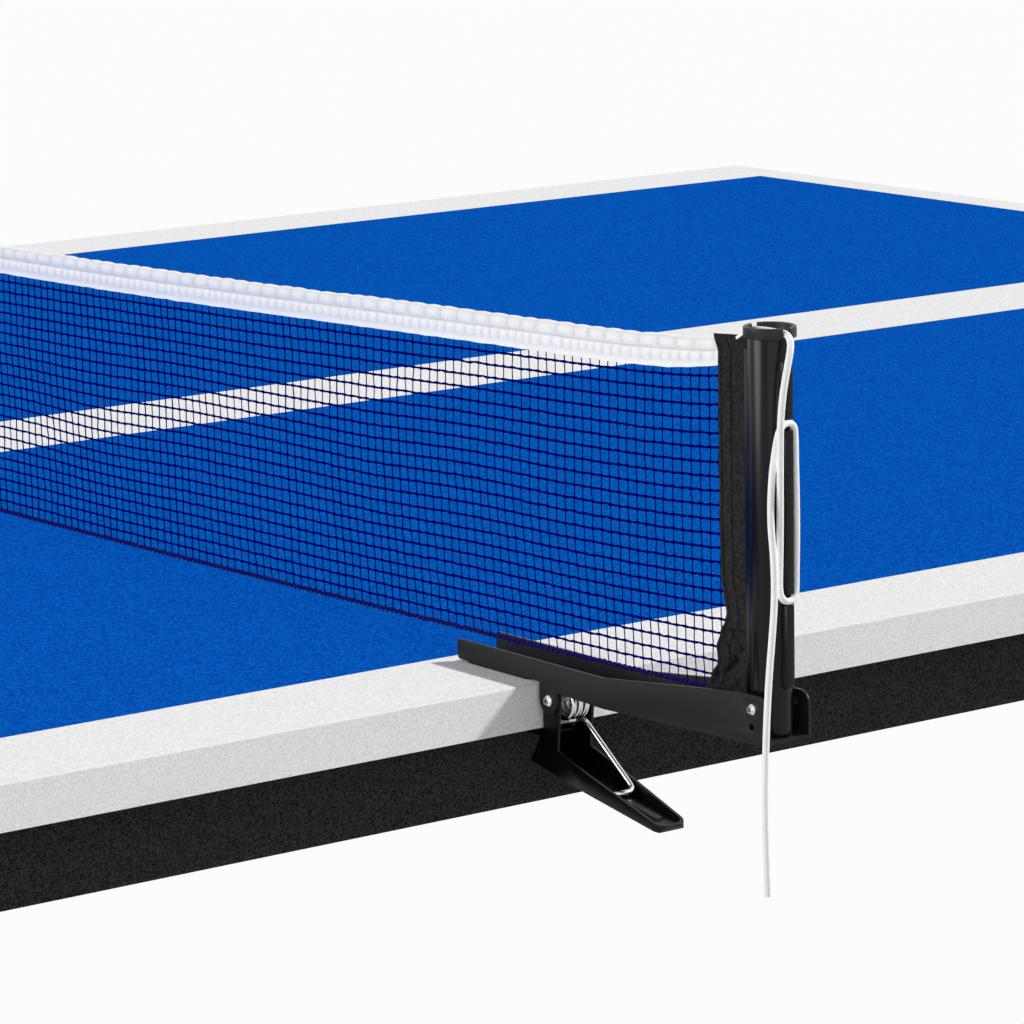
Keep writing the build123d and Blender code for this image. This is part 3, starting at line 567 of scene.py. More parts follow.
def strung(name: str, runs: Sequence[Sequence[tuple[Vector, float]]]) -> bpy.types.Mesh:
    """Mesh of thin four-sided strings along lines of points, shaded as round.

    Args:
        name: Name of the mesh.
        runs: Lines of points, each with the string's radius in metres there.

    Returns:
        One smooth mesh of all the strings.
    """
    curve = bpy.data.curves.new(name, "CURVE")
    curve.dimensions = "3D"
    curve.bevel_depth = 1.0
    curve.bevel_resolution = 0
    curve.use_fill_caps = True
    for run in runs:
        line = curve.splines.new("POLY")
        line.points.add(len(run) - 1)
        for point, (place, radius) in zip(line.points, run):
            point.co = (*place, 1.0)
            point.radius = radius
    carrier = bpy.data.objects.new(name, curve)
    tubes = bpy.data.meshes.new_from_object(carrier)
    work = bmesh.new()
    work.from_mesh(tubes)
    bmesh.ops.remove_doubles(work, verts=work.verts, dist=MERGE_MM * MM)
    bpy.data.objects.remove(carrier)
    bpy.data.curves.remove(curve)
    bpy.data.meshes.remove(tubes)
    return smooth_mesh(name, work)


def cloth(
    name: str,
    across: int,
    along: int,
    shape: Callable[[float, float], Vector],
    size: tuple[float, float],
    fold: Callable[[float, float], float],
) -> bpy.types.Mesh:
    """Sheet of cloth from a flat grid that is moved into shape, with a UV map in metres and a fold
    attribute of painted shade.

    Args:
        name: Name of the mesh.
        across: Number of cells across the cloth.
        along: Number of cells along it.
        shape: Place of a point by its shares across and along the cloth.
        size: Flat width and length of the cloth in metres.
        fold: Painted shade at a point, from 0 to 1, by the same shares.

    Returns:
        The cloth's mesh.
    """
    half = 0.5
    work = bmesh.new()
    bmesh.ops.create_grid(work, x_segments=across, y_segments=along, size=half, calc_uvs=True)
    chart = work.loops.layers.uv.verify()
    for face in work.faces:
        for loop in face.loops:
            share = loop.vert.co.xy + Vector((half, half))
            loop[chart].uv = (share.x * size[0], share.y * size[1])
    # The fold attribute holds painted shade for the cloth's material.
    depth = work.verts.layers.float.new("fold")
    for vert in work.verts:
        shares = vert.co.x + half, vert.co.y + half
        vert[depth] = between(fold(*shares))
        vert.co = shape(*shares)
    return smooth_mesh(name, work)


@dataclass
class Table:
    """The two halves of the playing surface, their rails and their folding legs."""

    halves: tuple[str, str] = ("a", "b")
    frames: tuple[str, str] = ("inner", "outer")

    def build(self) -> None:
        """Dress the table's nodes."""
        per_half = [(half, frame_name) for half in self.halves for frame_name in self.frames]
        dress(TABLE_PAINT, [f"top_board_{half}" for half in self.halves])
        dress(EDGE_PVC, [f"edge_band_{half}" for half in self.halves])
        rails = ("side_rail_near", "side_rail_far", "end_rail", "inner_rail")
        dress(RAIL_COAT, [f"{rail}_{half}" for rail in rails for half in self.halves])
        dress(RAIL_COAT, ["joining_plates", "hinge_brackets", "stay_brackets"])
        for part in ("legs", "crossbars"):
            dress(TUBE_COAT, [f"{part}_{name}_{half}" for half, name in per_half])
        dress(RUBBER, [f"feet_{name}_{half}" for half, name in per_half])
        for end in ("upper", "lower"):
            dress(ZINC, [f"stay_{end}_{name}_{half}" for half, name in per_half])
        dress(ZINC, ["joining_bolts", "hinge_pins"])


@dataclass
class Clamp:
    """The net's spring clamp: arm, squeeze lever, spring and post."""

    side: Side
    edge_mm: float = 0.35
    # The spring's long leg: its place inside the edge, and the heights that it bends between.
    leg_mm: float = -14.0
    bend_from_mm: float = -13.0
    bend_to_mm: float = -26.0
    wire_crease_deg: float = 60.0

    def spring(self) -> None:
        """Wound spring, made from the model's mesh and carried by no body."""
        node, name = f"torsion_spring_{self.side.word}", f"wound_spring_{self.side.word}"
        mesh = smooth_mesh(name, merged(node), self.wire_crease_deg)
        piece = new_piece(name, mesh, SPRING_STEEL, "")
        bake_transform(piece)
        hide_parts(node)

    def build(self) -> None:
        """Round the pressed pieces' edges and dress the rest."""
        word = self.side.word
        # The arm's enamel carries painted light and the lever's painted shade.
        for node, name, finish, body in (
            ("clamp_arm", "pressed_arm", ARM_ENAMEL_PAINTED_LIGHT, "table"),
            ("clamp_lever", "pressed_lever", LEVER_ENAMEL_PAINTED_SHADE, f"lever_{word}"),
            ("net_post", "drawn_post", POST_ENAMEL, "table"),
        ):
            softened(f"{node}_{word}", f"{name}_{word}", finish, body, self.edge_mm)
        dress(RUBBER, [f"lower_jaw_pad_{word}"])
        self.spring()


@dataclass
class ClampTrim:
    """Pieces that both clamps share in one node."""

    # Middles of the rivets, by distance inside the near edge and height above the surface.
    pivot_mm: tuple[float, float] = (-8.5, -7.0)
    post_rivet_mm: tuple[float, float] = (-160.0, 16.0)
    hollow_r_mm: float = 1.0
    hollow_deep_mm: float = 0.3
    hollow_sunk: float = 0.4
    hollow_sides: int = 20
    cap_edge_mm: float = 0.4

    def hollows(self) -> None:
        """Dark discs in the middle of the tubular rivets' heads, a painted shade for their bores."""
        work = bmesh.new()
        for node, (t, z) in (("pivot_rivets", self.pivot_mm), ("post_rivets", self.post_rivet_mm)):
            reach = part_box(node)[1].x / MM
            for side in Side:
                for way in (-1, 1):
                    middle = near(way * (reach - self.hollow_sunk * self.hollow_deep_mm), t, z)
                    facing = Matrix.Translation(middle) @ Matrix.Rotation(math.pi / 2, 4, "Y")
                    bmesh.ops.create_cone(
                        work,
                        cap_ends=True,
                        segments=self.hollow_sides,
                        radius1=self.hollow_r_mm * MM,
                        radius2=self.hollow_r_mm * MM,
                        depth=self.hollow_deep_mm * MM,
                        matrix=side.turn @ facing,
                    )
        mesh = smooth_mesh("rivet_hollows", work, CREASE_DEG)
        new_piece("rivet_hollows", mesh, RIVET_BORE_SHADE)

    def build(self) -> None:
        """Dress the pads, rivets and caps."""
        dress(RUBBER, ["upper_jaw_pads"])
        dress(ZINC, ["pivot_rivets", "post_rivets"])
        self.hollows()
        softened("post_caps", "moulded_caps", NYLON, "table", self.cap_edge_mm)


@dataclass(frozen=True)
class NetLines:
    """The sagging lines that the net hangs between, and the slack of its mesh."""

    end_mm: float = 886.5
    tuck_mm: float = 6.5
    tape_mm: float = 16.0
    tape_lap_mm: float = 1.5
    tape_end_mm: float = 183.5
    tape_mid_mm: float = 158.0
    droop_mm: float = 3.4
    droop_at_mm: float = 60.0
    mesh_droop: float = 0.5
    hem_end_mm: float = 17.0
    hem_mid_mm: float = 7.0
    slack_mm: float = 3.2
    lean_mm: float = 8.0
    end_hold_power: int = 8
    # Ripples of the slack, by metres along the net and the share of its height.
    aside: Ripple = Ripple(1, 1.3, 8, 1.2)
    lift: Ripple = Ripple(2, 0.8, 9, 2.0)
    drift: Ripple = Ripple(3, 0.8, 11, 2.6)

    def height(self, y: float, end_mm: float, mid_mm: float, droop_mm: float = 0.0) -> float:
        """Height of one of the net's sagging lines.

        Args:
            y: Place along the net in metres.
            end_mm: The line's height at the sleeves, above the playing surface.
            mid_mm: Its height at the middle.
            droop_mm: How far it hangs lower beside the sleeves.

        Returns:
            The height in metres, above the floor.
        """
        bow = (y / (self.end_mm * MM)) ** 2
        inside = max(0.0, self.end_mm - abs(y) / MM) / self.droop_at_mm
        droop = droop_mm * inside * math.exp(1 - inside)
        return TOP + (mid_mm + (end_mm - mid_mm) * bow - droop) * MM

    def place(self, column: float, row: float) -> Vector:
        """Point on the slack net.

        Args:
            column: Share of the net's length.
            row: Share of its height, from the hem to the tape.

        Returns:
            The point, moved by the net's slack.
        """
        out = 2 * column - 1
        y = (self.end_mm + self.tuck_mm) * MM * out
        low = self.height(y, self.hem_end_mm, self.hem_mid_mm)
        under = self.tape_mm - self.tape_lap_mm
        droop_mm = self.mesh_droop * self.droop_mm
        high = self.height(y, self.tape_end_mm - under, self.tape_mid_mm - under, droop_mm)
        loose = 1 - out**self.end_hold_power
        slack = self.slack_mm * MM * math.sin(math.pi * between(row)) * loose
        pulled = self.lean_mm * MM * out * loose * (1 - row) ** 2
        along = y + slack * self.drift.at(y, row) + pulled
        up = low + (high - low) * row + slack * self.lift.at(y, row)
        return Vector((slack * self.aside.at(y, row), along, up))


@dataclass
class KnottedMesh:
    """Horizontal threads of the net, knotted round finer upright ones."""

    lines: NetLines
    columns: int = 264
    rows: int = 23
    row_r_mm: float = 0.52
    column_r_mm: float = 0.34
    at_knot: float = 1.45
    off_knot: float = 0.9
    # Ripples in millimetres, by the steps along a thread.
    row_wave: Ripple = Ripple(0, 0.45, 0.9)
    column_wave: Ripple = Ripple(40, 1.1, 0.8)

    def build(self) -> bpy.types.Object:
        """Make the threads in place of the solid net.

        Returns:
            The new piece.
        """
        runs = []
        for row in range(1, self.rows):
            run = []
            for step in range(2 * self.columns + 1):
                place = self.lines.place(step / 2 / self.columns, row / self.rows)
                place.z += self.row_wave.at(step, strand=row) * MM
                thick = self.off_knot if step % 2 else self.at_knot
                run.append((place, self.row_r_mm * MM * thick))
            runs.append(run)
        for column in range(self.columns + 1):
            run = []
            for row in range(self.rows + 1):
                place = self.lines.place(column / self.columns, row / self.rows)
                place.y += self.column_wave.at(column, strand=row) * MM
                run.append((place, self.column_r_mm * MM))
            runs.append(run)
        mesh = strung("knotted_mesh", runs)
        piece = new_piece("knotted_mesh", mesh, NET_THREAD, shade=False)
        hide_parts("net_mesh")
        return piece


@dataclass
class WoundHem:
    """Hem cord of the net, with a thread wound round it and loose fibres standing off it."""

    lines: NetLines
    steps: int = 3600
    core_every: int = 3
    core_r_mm: float = 0.95
    core_share: float = 0.85
    turn_rad: float = 0.8
    winding_out_mm: float = 1.0
    winding_r_mm: float = 0.42
    fibre_every: int = 4
    fibre_mm: float = 2.0
    fibre_root_r_mm: float = 0.16
    fibre_tip_r_mm: float = 0.1
    # Ripples by the steps along the hem: millimetres, shares and radians.
    sag: Ripple = Ripple(5, 0.2, 0.13)
    lump: Ripple = Ripple(6, 0.3, 0.3)
    twist: Ripple = Ripple(7, 2.0, 0.05)
    fibre_along: Ripple = Ripple(8, 1.6, 0.71)
    fibre_up: Ripple = Ripple(9, 0.5, 0.53)
    fibre_reach: Ripple = Ripple(10, 0.9, 0.37)

    def build(self) -> bpy.types.Object:
        """Make the hem in place of the solid one.

        Returns:
            The new piece.
        """
        core, winding, fibres = [], [], []
        for step in range(self.steps + 1):
            place = self.lines.place(step / self.steps, 0)
            place.z += self.sag.at(step) * MM
            angle = self.turn_rad * step + self.twist.at(step)
            out = Vector((math.cos(angle), 0, math.sin(angle)))
            if step % self.core_every == 0:
                core.append((place, self.core_r_mm * MM * (self.core_share + self.lump.at(step))))
            winding.append((place + self.winding_out_mm * MM * out, self.winding_r_mm * MM))
            if step % self.fibre_every == 0:
                lean = Vector((0, self.fibre_along.at(step), self.fibre_up.at(step)))
                tip = place + (self.fibre_mm + self.fibre_reach.at(step)) * MM * (out + lean)
                fibres.append([(place, self.fibre_root_r_mm * MM), (tip, self.fibre_tip_r_mm * MM)])
        mesh = strung("wound_hem", [core, winding, *fibres])
        piece = new_piece("wound_hem", mesh, HEM_THREAD, shade=False)
        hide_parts("net_hem")
        return piece


@dataclass(frozen=True)
class Gathers:
    """A row of gathers along the tape: their width, thickness, the powers that round them, and the
    painted shade in their creases.
    """

    width_mm: float
    flat_mm: float
    full_mm: float
    swell: float
    crest_power: float
    crease_power: float
    crease_shade: float = 0.8

    def crest(self, along: float) -> float:
        """Height of the gather at a place along the tape in metres, from 0 to 1."""
        return abs(math.sin(math.pi * along / (self.width_mm * MM)))

    def section(self, across: float, crest: float) -> tuple[float, float]:
        """Section through the row.

        Args:
            across: Share of the row's height.
            crest: Height of the gather there.

        Returns:
            The thickness that the gather adds in millimetres, and the painted shade in its crease from 0
            to 1.
        """
        swell = math.sin(math.pi * across) ** self.swell
        thick = swell * (self.flat_mm + self.full_mm * crest**self.crest_power)
        return thick, self.crease_shade * (1 - crest**self.crease_power) * swell


@dataclass
class GatheredTape:
    """White tape folded over the net's upper edge, sewn along one seam and gathered by it."""

    lines: NetLines
    around: int = 28
    along: int = 3400
    width_m: float = 0.038
    over_end_mm: float = 1.0
    # Rounded puffs above the seam and finer teeth below it, by their shares of the tape's height.
    puffs: Gathers = Gathers(13.0, 0.8, 1.1, 0.6, 0.35, 0.25)
    teeth: Gathers = Gathers(7.0, 0.4, 1.0, 0.7, 0.4, 0.3)
    seam: float = 3 / 7
    teeth_to: float = 6 / 7
    # Painted shade along the seam's crease: its width as a share of the tape's height, its strength and
    # its least share.
    seam_width: float = 0.035
    seam_shade: float = 0.6
    seam_least: float = 0.8
    half_mm: float = 0.6
    lip_half_mm: float = 0.85
    fold_round: float = 0.06
    press_from_mm: float = 4.0
    press_over_mm: float = 8.0
    press_least: float = 0.5
    pull_mm: float = 3.4
    pull_over_mm: float = 50.0
    crest_mm: float = 0.45
    crest_to: float = 0.3
    crown_drop_mm: float = 0.9
    fall: float = 0.95
    fray_from: float = 0.8
    stitch_mm: float = 2.4
    stitch_step_mm: float = 3.2
    # Ripples in millimetres or shares, by metres along the tape.
    puff_wave: Ripple = Ripple(11, 3.0, 40)
    crest_wave: Ripple = Ripple(12, 0.5, 45)
    fray: Ripple = Ripple(13, 0.35, 90)
    sway: Ripple = Ripple(14, 0.8, 9)
    tooth_wave: Ripple = Ripple(15, 2.0, 25)
    lip_wave: Ripple = Ripple(16, 0.3, 70, 5)
    seam_wave: Ripple = Ripple(17, 0.4, 120)

    def y(self, length: float) -> float:
        """Place along the net at a share of the tape's length, in metres."""
        return (self.lines.end_mm + self.over_end_mm) * MM * (2 * length - 1)

    def gathered(self, share: float, length: float) -> tuple[float, float, float]:
        """Section through the gathers.

        Args:
            share: Share of the way round the fold, from one lower edge to the other.
            length: Share of the tape's length.

        Returns:
            The tape's half thickness in millimetres, the height of a puff and the painted shade in its
            folds and along its seam, the last two from 0 to 1.
        """
        y = self.y(length)
        down = abs(2 * share - 1)
        uneven = y + self.puff_wave.at(y) * MM
        puff = self.puffs.crest(uneven)
        if down >= self.teeth_to:
            return self.lip_half_mm + self.lip_wave.at(y, down), puff, 0.0
        if down < self.seam:
            thick, fold = self.puffs.section(down / self.seam, puff)
        else:
            tooth = self.teeth.crest(uneven + self.tooth_wave.at(y) * MM)
            thick, fold = self.teeth.section((down - self.seam) / (self.teeth_to - self.seam), tooth)
        # Painted shade along the seam, and in the creases of the gathers.
        sewn = self.seam_shade * bell(down - self.seam, self.seam_width)
        return self.half_mm + thick, puff, max(sewn * (self.seam_least + self.seam_wave.at(y)), fold)

    def fold(self, share: float, length: float) -> float:
        """Painted shade at a point of the tape, in its folds and along its seam, from 0 to 1."""
        return self.gathered(share, length)[2]

    def place(self, share: float, length: float) -> Vector:
        """Point on the tape, which is pressed flat where the sleeves take it.

        Args:
            share: Share of the way round the fold, from one lower edge to the other.
            length: Share of the tape's length.

        Returns:
            The point.
        """
        net = self.lines
        y = self.y(length)
        thick, puff, _ = self.gathered(share, length)
        down = abs(2 * share - 1)
        way = 1 if share > 0.5 else -1
        inside = net.end_mm - abs(y) / MM
        pressed = between((inside - self.press_from_mm) / self.press_over_mm, self.press_least)
        pulled = self.pull_mm * max(0.0, 1 - max(0.0, inside) / self.pull_over_mm) ** 2 * (1 - down)
        crest = (self.crest_mm * puff + self.crest_wave.at(y)) * max(0.0, 1 - down / self.crest_to)
        fray = self.fray.at(y) * max(0.0, down - self.fray_from) / (1 - self.fray_from)
        top = net.height(y, net.tape_end_mm, net.tape_mid_mm, net.droop_mm) - self.crown_drop_mm * MM
        z = top + (crest + fray - pulled - self.fall * net.tape_mm * down) * MM
        aside = way * thick * min(1.0, down / self.fold_round) + self.sway.at(y)
        return Vector((aside * pressed * MM, y, z))

    def stitches(self) -> bpy.types.Object:
        """Make the seam's stitches on both faces of the tape.

        Returns:
            The new piece.
        """
        dashes = []
        step = self.stitch_step_mm / (2 * self.lines.end_mm)
        for index in range(int(1 / step)):
            start, stop = index * step, (index + self.stitch_mm / self.stitch_step_mm) * step
            for share in ((1 - self.seam) / 2, (1 + self.seam) / 2):
                ends = [self.place(share, length) for length in (start, stop)]
                dashes.append([(end, STITCH_R_MM * MM) for end in ends])
        mesh = strung("tape_stitches", dashes)
        return new_piece("tape_stitches", mesh, WHITE_STITCH, shade=False)

    def build(self) -> bpy.types.Object:
        """Make the tape in place of the solid one.

        Returns:
            The new piece.
        """
        size = (self.width_m, 2 * self.lines.end_mm * MM)
        mesh = cloth("gathered_tape", self.around, self.along, self.place, size, self.fold)
        piece = new_piece("gathered_tape", mesh, TAPE_CLOTH, shade=False)
        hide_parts("net_top_tape")
        return piece


@dataclass
class Net:
    """The net between the sleeves: knotted mesh, wound hem and gathered tape."""

    lines: NetLines = NetLines()
    mesh_height_m: float = 0.15
    # Area of the threads' skin, as a share of the net's flat area.
    thread_share: float = 0.39
    tape_fullness: float = 1.12

    def build(self) -> None:
        mesh, hem = KnottedMesh(self.lines).build(), WoundHem(self.lines).build()
        binding = GatheredTape(self.lines)
        tape, stitches = binding.build(), binding.stitches()


@dataclass
class Sleeve:
    """Black cloth sleeve folded over the net's end, stitched twice and gathered at the foot."""

    side: Side
    around: int = 110
    up: int = 190
    wrap_m: float = 0.07
    flat_m: tuple[float, float] = (0.062, 0.166)
    foot_mm: float = 15.5
    crown_mm: float = 181.7
    crown_rise_mm: float = 2.2
    crown_taper_mm: float = 20.0
    half_mm: float = 1.4
    belly_mm: float = 0.9
    edge_round_mm: float = 1.6
    # The outer edge, and the thinner tongue that goes on from there into the post's slotted lip.
    outer_mm: float = -147.0
    tongue_mm: float = -149.4
    tongue_half_mm: float = 1.15
    tongue_step_mm: float = 0.9
    # The turned-up foot: its height, its extra thickness and the groove above it.
    turn_up_mm: float = 47.0
    turn_up_half_mm: float = 0.45
    groove_mm: float = 0.3
    groove_fade_mm: float = 1.2
    rear_drop_mm: float = 1.5
    rear_over_mm: float = 12.0
    # The inner edge, by its heights above the surface and distances inside the table's edge.
    edge_mm: tuple[tuple[float, float], ...] = (
        (15.5, -113.4), (24.0, -118.4), (30.0, -122.6), (33.0, -122.9), (37.5, -122.4), (46.0, -125.2),
        (50.0, -127.6), (54.0, -129.0), (57.0, -128.6), (62.0, -127.2), (72.0, -125.2), (107.0, -124.8),
        (160.0, -124.6), (173.0, -124.2), (181.5, -121.0),
    )
    seams_mm: tuple[float, float] = (3.8, 10.6)
    seam_width_mm: float = 0.8
    seam_deep_mm: float = 0.16
    stitch_mm: float = 2.2
    stitch_step_mm: float = 3.0
    stitch_proud_mm: float = 0.05
    stitch_from_mm: float = 2.0
    stitch_to_mm: float = 4.0
    gather_at_mm: float = 31.0
    gather_over_mm: float = 24.0
    gather_slant: float = 0.9
    pucker_over_mm: float = 2.5
    # Painted shade along the seams, under the turn-up's edge and in the folds, and the widths of the
    # first two.
    seam_shade: float = 0.55
    seam_shade_mm: float = 0.6
    turn_up_shade: float = 0.7
    turn_up_shade_mm: float = 0.8
    fold_shade: float = 1.6
    # Ripples in millimetres or shares, by the height and the depth from the inner edge.
    pucker: Ripple = Ripple(22, 0.1, 1 / 3.1, 1 / 6)
    sag: Ripple = Ripple(24, 0.15, 1 / 26, 1 / 16)
    falling_fold: Ripple = Ripple(23, 1.3, 1 / 4.2, 1 / 9)
    rising_fold: Ripple = Ripple(25, 0.8, 1 / 5.5)
    wear: Ripple = Ripple(26, 0.25, 1 / 14, 1 / 7)

    def tip(self, z: float) -> float:
        """Place of the inner edge.

        Args:
            z: Millimetres above the surface.

        Returns:
            The distance inside the table's edge in millimetres.
        """
        for (low, start), (high, stop) in zip(self.edge_mm, self.edge_mm[1:]):
            if z <= high:
                share = (z - low) / (high - low)
                return start + (stop - start) * share * share * (3 - 2 * share)
        return self.edge_mm[-1][1]

    def pinch(self, depth: float, width_mm: float) -> float:
        """How close a depth is to the seams, 1 on a seam that marks the cloth over a width."""
        return sum(bell(depth - seam, width_mm) for seam in self.seams_mm)

    def skin(self, depth: float, z: float) -> float:
        """Half the sleeve's thickness.

        Args:
            depth: Millimetres outwards from the inner edge.
            z: Millimetres above the surface.

        Returns:
            The half thickness in millimetres.
        """
        crown = min(1.0, max(0.0, self.crown_mm - z) / self.crown_taper_mm)
        above = z - self.turn_up_mm
        turn_up = self.turn_up_half_mm
        if above >= 0:
            turn_up = -self.groove_mm * math.exp(-above / self.groove_fade_mm)
        rounded = min(1.0, math.sqrt(max(0.0, depth) / self.edge_round_mm))
        half = (self.half_mm + self.belly_mm * crown + turn_up) * rounded
        uneven = self.pucker.at(z, depth) + self.sag.at(z, depth) + self.folds(depth, z)
        half += uneven * min(1.0, depth / self.pucker_over_mm)
        return half - self.seam_deep_mm * self.pinch(depth, self.seam_width_mm)

    def folds(self, depth: float, z: float) -> float:
        """Height of the slanting folds at the gathered foot, in millimetres.

        Args:
            depth: Millimetres outwards from the inner edge.
            z: Millimetres above the surface.

        Returns:
            The height, negative in the folds.
        """
        gather = max(0.0, 1 - abs(z - self.gather_at_mm) / self.gather_over_mm)
        falling = self.falling_fold.at(z + self.gather_slant * depth, depth)
        return gather * (falling + self.rising_fold.at(z - depth))

    def fold(self, share: float, rise: float) -> float:
        """Painted shade on the sleeve in its folds, seams and under the turn-up, from none at 0 to full
        at 1.

        Args:
            share: Share of the way round the fold, from one outer edge to the other.
            rise: Share of the sleeve's height.

        Returns:
            The depth, before it is kept between 0 and 1.
        """
        z = self.foot_mm + (self.crown_mm - self.foot_mm) * rise
        depth = (self.tip(z) - self.tongue_mm) * abs(2 * share - 1)
        seams = self.seam_shade * self.pinch(depth, self.seam_shade_mm)
        turn_up = self.turn_up_shade * bell(z - self.turn_up_mm, self.turn_up_shade_mm)
        return max(seams, turn_up, -self.fold_shade * self.folds(depth, z)) + self.wear.at(z, depth)

    def place(self, share: float, rise: float) -> Vector:
        """Point on the sleeve.

        Args:
            share: Share of the way round the fold, from one outer edge to the other.
            rise: Share of the sleeve's height.

        Returns:
            The point.
        """
        back = abs(2 * share - 1)
        z = self.foot_mm + (self.crown_mm + self.crown_rise_mm * back - self.foot_mm) * rise
        way = 1 if share > 0.5 else -1
        tip = self.tip(z)
        t = tip - (tip - self.tongue_mm) * back
        tongue = between((self.outer_mm + self.tongue_step_mm - t) / self.tongue_step_mm)
        half = self.skin(tip - t, z) * (1 - tongue) + self.tongue_half_mm * tongue
        if way > 0:
            z -= self.rear_drop_mm * between((z - self.crown_mm + self.rear_over_mm) / self.rear_over_mm)
        return self.side.turn @ near(way * max(0.0, half), t, z)

    def stitches(self) -> bpy.types.Object:
        """Make two rows of stitches on both faces of the sleeve.

        Returns:
            The new piece.
        """
        dashes = []
        z = self.foot_mm + self.stitch_from_mm
        while z < self.crown_mm - self.stitch_to_mm:
            for depth in self.seams_mm:
                for way in (-1, 1):
                    dash = []
                    for high in (z, z + self.stitch_mm):
                        aside = way * (self.skin(depth, high) + self.stitch_proud_mm)
                        end = self.side.turn @ near(aside, self.tip(high) - depth, high)
                        dash.append((end, STITCH_R_MM * MM))
                    dashes.append(dash)
            z += self.stitch_step_mm
        name = f"sleeve_stitches_{self.side.word}"
        return new_piece(name, strung(name, dashes), BLACK_STITCH)

    def build(self) -> None:
        word = self.side.word
        name = f"sewn_sleeve_{word}"
        size = (self.wrap_m, (self.crown_mm - self.foot_mm) * MM)
        mesh = cloth(name, self.around, self.up, self.place, size, self.fold)
        sleeve = new_piece(name, mesh, SLEEVE_CLOTH)
        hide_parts(f"net_sleeve_{word}")
        self.stitches()


@dataclass
class TensionCord:
    """Braided cord from the sleeve over the post's cap, round its slit fin, then hanging free."""

    diameter_mm: float = 3.2
    length_m: float = 0.466
    # Each point is a distance along the table, inside the near edge and above the surface.
    route_mm: tuple[tuple[float, float, float], ...] = (
        # From the sleeve over the cap.
        (0, -138.2, 181.3), (0, -142.6, 184.2), (0, -147.4, 186.4), (0, -155.5, 186.8), (0, -164, 186.9),
        (0, -171.4, 187), (-0.7, -175.2, 184.6), (-2.4, -177, 180.2), (-4.8, -177.6, 173),
        # Down to the fin's lower slit and through it.
        (-7.4, -177.3, 160.5), (-8.6, -177, 146.5), (-8.2, -176.3, 131), (-7.2, -175, 114),
        (-6.4, -173.8, 98), (-6, -173, 86), (-5.9, -172.5, 78), (-5.8, -172.3, 72.2),
        (-4.8, -172.2, 68.5), (-2.2, -172.1, 66.2), (1.2, -172.1, 66), (3.7, -171.8, 67.8),
        # Up behind the fin and back through its upper slit.
        (4.6, -171.5, 71.3), (4.7, -171.4, 78), (4.8, -171.6, 87), (4.9, -171.8, 101), (4.8, -171.7, 117),
        (4.7, -171.5, 129), (4.7, -171.4, 136.4), (4.6, -171.4, 141.8), (3.7, -171.7, 145.3),
        (1.2, -172, 147), (-2.2, -172, 146.8), (-4.8, -172.1, 144.5), (-6.4, -172.2, 140.4),
        # Down to the free end.
        (-8, -172.4, 134), (-10.2, -172.7, 123), (-11.6, -173.2, 105), (-10.8, -174.6, 87),
        (-11.2, -175.5, 70), (-13, -175.8, 53), (-15, -175.8, 36), (-16.5, -175.6, 15),
        (-17.4, -175.4, -9), (-17.4, -175.2, -33), (-16.7, -175.2, -53), (-16.2, -175.2, -67),
    )

    def build(self) -> None:
        """Make the cord as one smooth spline along its route."""
        points = [near(*place) for place in self.route_mm]
        curve = bpy.data.curves.new("braided_cord", "CURVE")
        curve.dimensions = "3D"
        curve.bevel_depth = self.diameter_mm / 2 * MM
        curve.bevel_resolution = 4
        curve.resolution_u = 8
        curve.use_fill_caps = True
        line = curve.splines.new("NURBS")
        line.points.add(len(points) - 1)
        for point, place in zip(line.points, points):
            point.co = (*place, 1.0)
        line.order_u = 3
        line.use_endpoint_u = True
        curve.materials.append(CORD_BRAID.material())
        piece = bpy.data.objects.new("braided_cord", curve)
        bpy.context.scene.collection.objects.link(piece)
        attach(piece, "table")
        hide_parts("tension_cord")
        log.info("braided_cord along %d points", len(points))


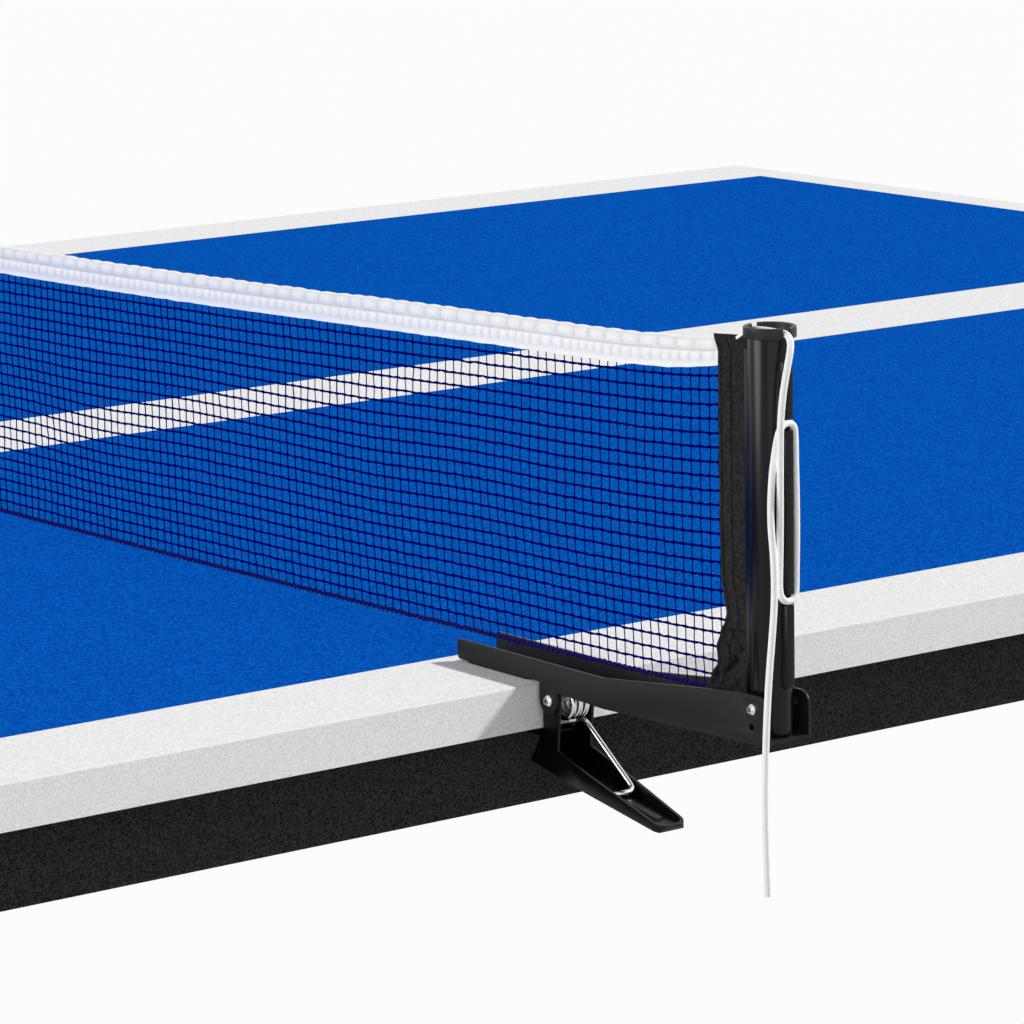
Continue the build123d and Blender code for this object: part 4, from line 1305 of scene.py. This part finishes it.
@dataclass
class Studio:
    """Pale floor, soft light and the camera at the photograph's viewing angle."""

    yaw_deg: float = 36.656
    pitch_deg: float = 11.022
    roll_deg: float = -1.049
    # Place of the eye along the table, inside the near edge and above the surface.
    eye_mm: tuple[float, float, float] = (-1327.4, -1749.5, 509.85)
    focal_px: float = 4708.1
    frame_px: float = 1024.0
    sensor_mm: float = 36.0
    sight_m: float = 100.0
    sky: float = 0.13
    # Each lamp: name, way that its light travels, strength, and angle that it fills.
    lamps: tuple[tuple[str, tuple[float, float, float], float, float], ...] = (
        ("broad_left", (0.85, -0.3, -0.25), 2.2, 40.0),
        ("near_right", (-1.1, 0.55, -1.0), 3.0, 6.0),
        ("front_fill", (0.35, 0.9, -0.25), 0.62, 60.0),
    )
    floor_m: float = 40.0
    floor_shade: str = "#b8b8b8"
    floor_roughness: float = 0.9
    floor_glow: float = 0.95

    def camera(self) -> None:
        """Place the camera."""
        yaw, pitch, roll = (math.radians(a) for a in (self.yaw_deg, self.pitch_deg, self.roll_deg))
        ahead = Vector((math.sin(yaw), math.cos(yaw), 0))
        right = Vector((math.cos(yaw), -math.sin(yaw), 0))
        forward = ahead * math.cos(pitch) - Vector((0, 0, math.sin(pitch)))
        up = ahead * math.sin(pitch) + Vector((0, 0, math.cos(pitch)))
        turned = right * math.cos(roll) + up * math.sin(roll)
        raised = up * math.cos(roll) - right * math.sin(roll)
        data = bpy.data.cameras.new("eye")
        data.sensor_width = self.sensor_mm
        data.lens = self.sensor_mm * self.focal_px / self.frame_px
        data.clip_end = self.sight_m
        eye = bpy.data.objects.new("eye", data)
        bpy.context.scene.collection.objects.link(eye)
        facing = Matrix((turned, raised, -forward)).transposed().to_4x4()
        eye.matrix_world = Matrix.Translation(near(*self.eye_mm)) @ facing
        bpy.context.scene.camera = eye

    def looks(self, owner: bpy.types.Material | bpy.types.World) -> bpy.types.NodeSocket:
        """Factor that is 1 for what the camera sees, also in a mirror or through glass.

        Args:
            owner: Material or world that gets the nodes.

        Returns:
            The factor's socket.
        """
        rays = add(owner, "ShaderNodeLightPath").outputs
        seen = rays["Is Camera Ray"]
        for kind in ("Is Glossy Ray", "Is Transmission Ray"):
            seen = add(owner, "ShaderNodeMath", {0: seen, 1: rays[kind]}, operation="MAXIMUM").outputs[0]
        return seen

    def light(self) -> None:
        """Soft white sky that is pure white to the camera, and the lamps."""
        world = bpy.data.worlds.new("soft_sky")
        bpy.context.scene.world = world
        world.use_nodes = True
        tree = world.node_tree
        sky = tree.nodes["Background"]
        sky.inputs["Strength"].default_value = self.sky
        sky.inputs["Color"].default_value = WHITE
        plain = add(world, "ShaderNodeBackground", {"Color": WHITE})
        shaders = {0: self.looks(world), 1: sky.outputs[0], 2: plain.outputs[0]}
        mix = add(world, "ShaderNodeMixShader", shaders)
        tree.links.new(mix.outputs[0], tree.nodes["World Output"].inputs[0])
        for name, way, strength, angle in self.lamps:
            data = bpy.data.lights.new(name, "SUN")
            data.energy = strength
            data.angle = math.radians(angle)
            lamp = bpy.data.objects.new(name, data)
            lamp.rotation_euler = Vector(way).to_track_quat("-Z", "Y").to_euler()
            bpy.context.scene.collection.objects.link(lamp)

    def floor(self) -> None:
        """Pale floor that looks almost white to the camera and keeps a faint shadow."""
        work = bmesh.new()
        bmesh.ops.create_grid(work, x_segments=1, y_segments=1, size=self.floor_m)
        mesh = smooth_mesh("pale_floor", work)
        made = bpy.data.materials.new("pale_floor")
        made.use_nodes = True
        shader = made.node_tree.nodes["Principled BSDF"]
        shader.inputs["Base Color"].default_value = linear(self.floor_shade)
        shader.inputs["Roughness"].default_value = self.floor_roughness
        glow = add(made, "ShaderNodeEmission", {"Color": WHITE, "Strength": 1.0})
        shaders = {0: self.floor_glow, 1: shader.outputs[0], 2: glow.outputs[0]}
        seen = add(made, "ShaderNodeMixShader", shaders)
        shaders = {0: self.looks(made), 1: shader.outputs[0], 2: seen.outputs[0]}
        mixed = add(made, "ShaderNodeMixShader", shaders)
        output = made.node_tree.nodes["Material Output"]
        made.node_tree.links.new(mixed.outputs[0], output.inputs[0])
        mesh.materials.append(made)
        floor = bpy.data.objects.new("pale_floor", mesh)
        bpy.context.scene.collection.objects.link(floor)

    def build(self) -> None:
        """Set up the stage."""
        bpy.context.scene.view_settings.view_transform = "Standard"
        self.camera()
        self.light()
        self.floor()


def main() -> None:
    """Set the stage, then make and dress the cord, the table, the clamps and the net."""
    Studio().build()
    TensionCord().build()
    Table().build()
    for side in Side:
        Clamp(side).build()
    ClampTrim().build()
    Net().build()
    for side in Side:
        Sleeve(side).build()


if __name__ == "__main__":
    main()
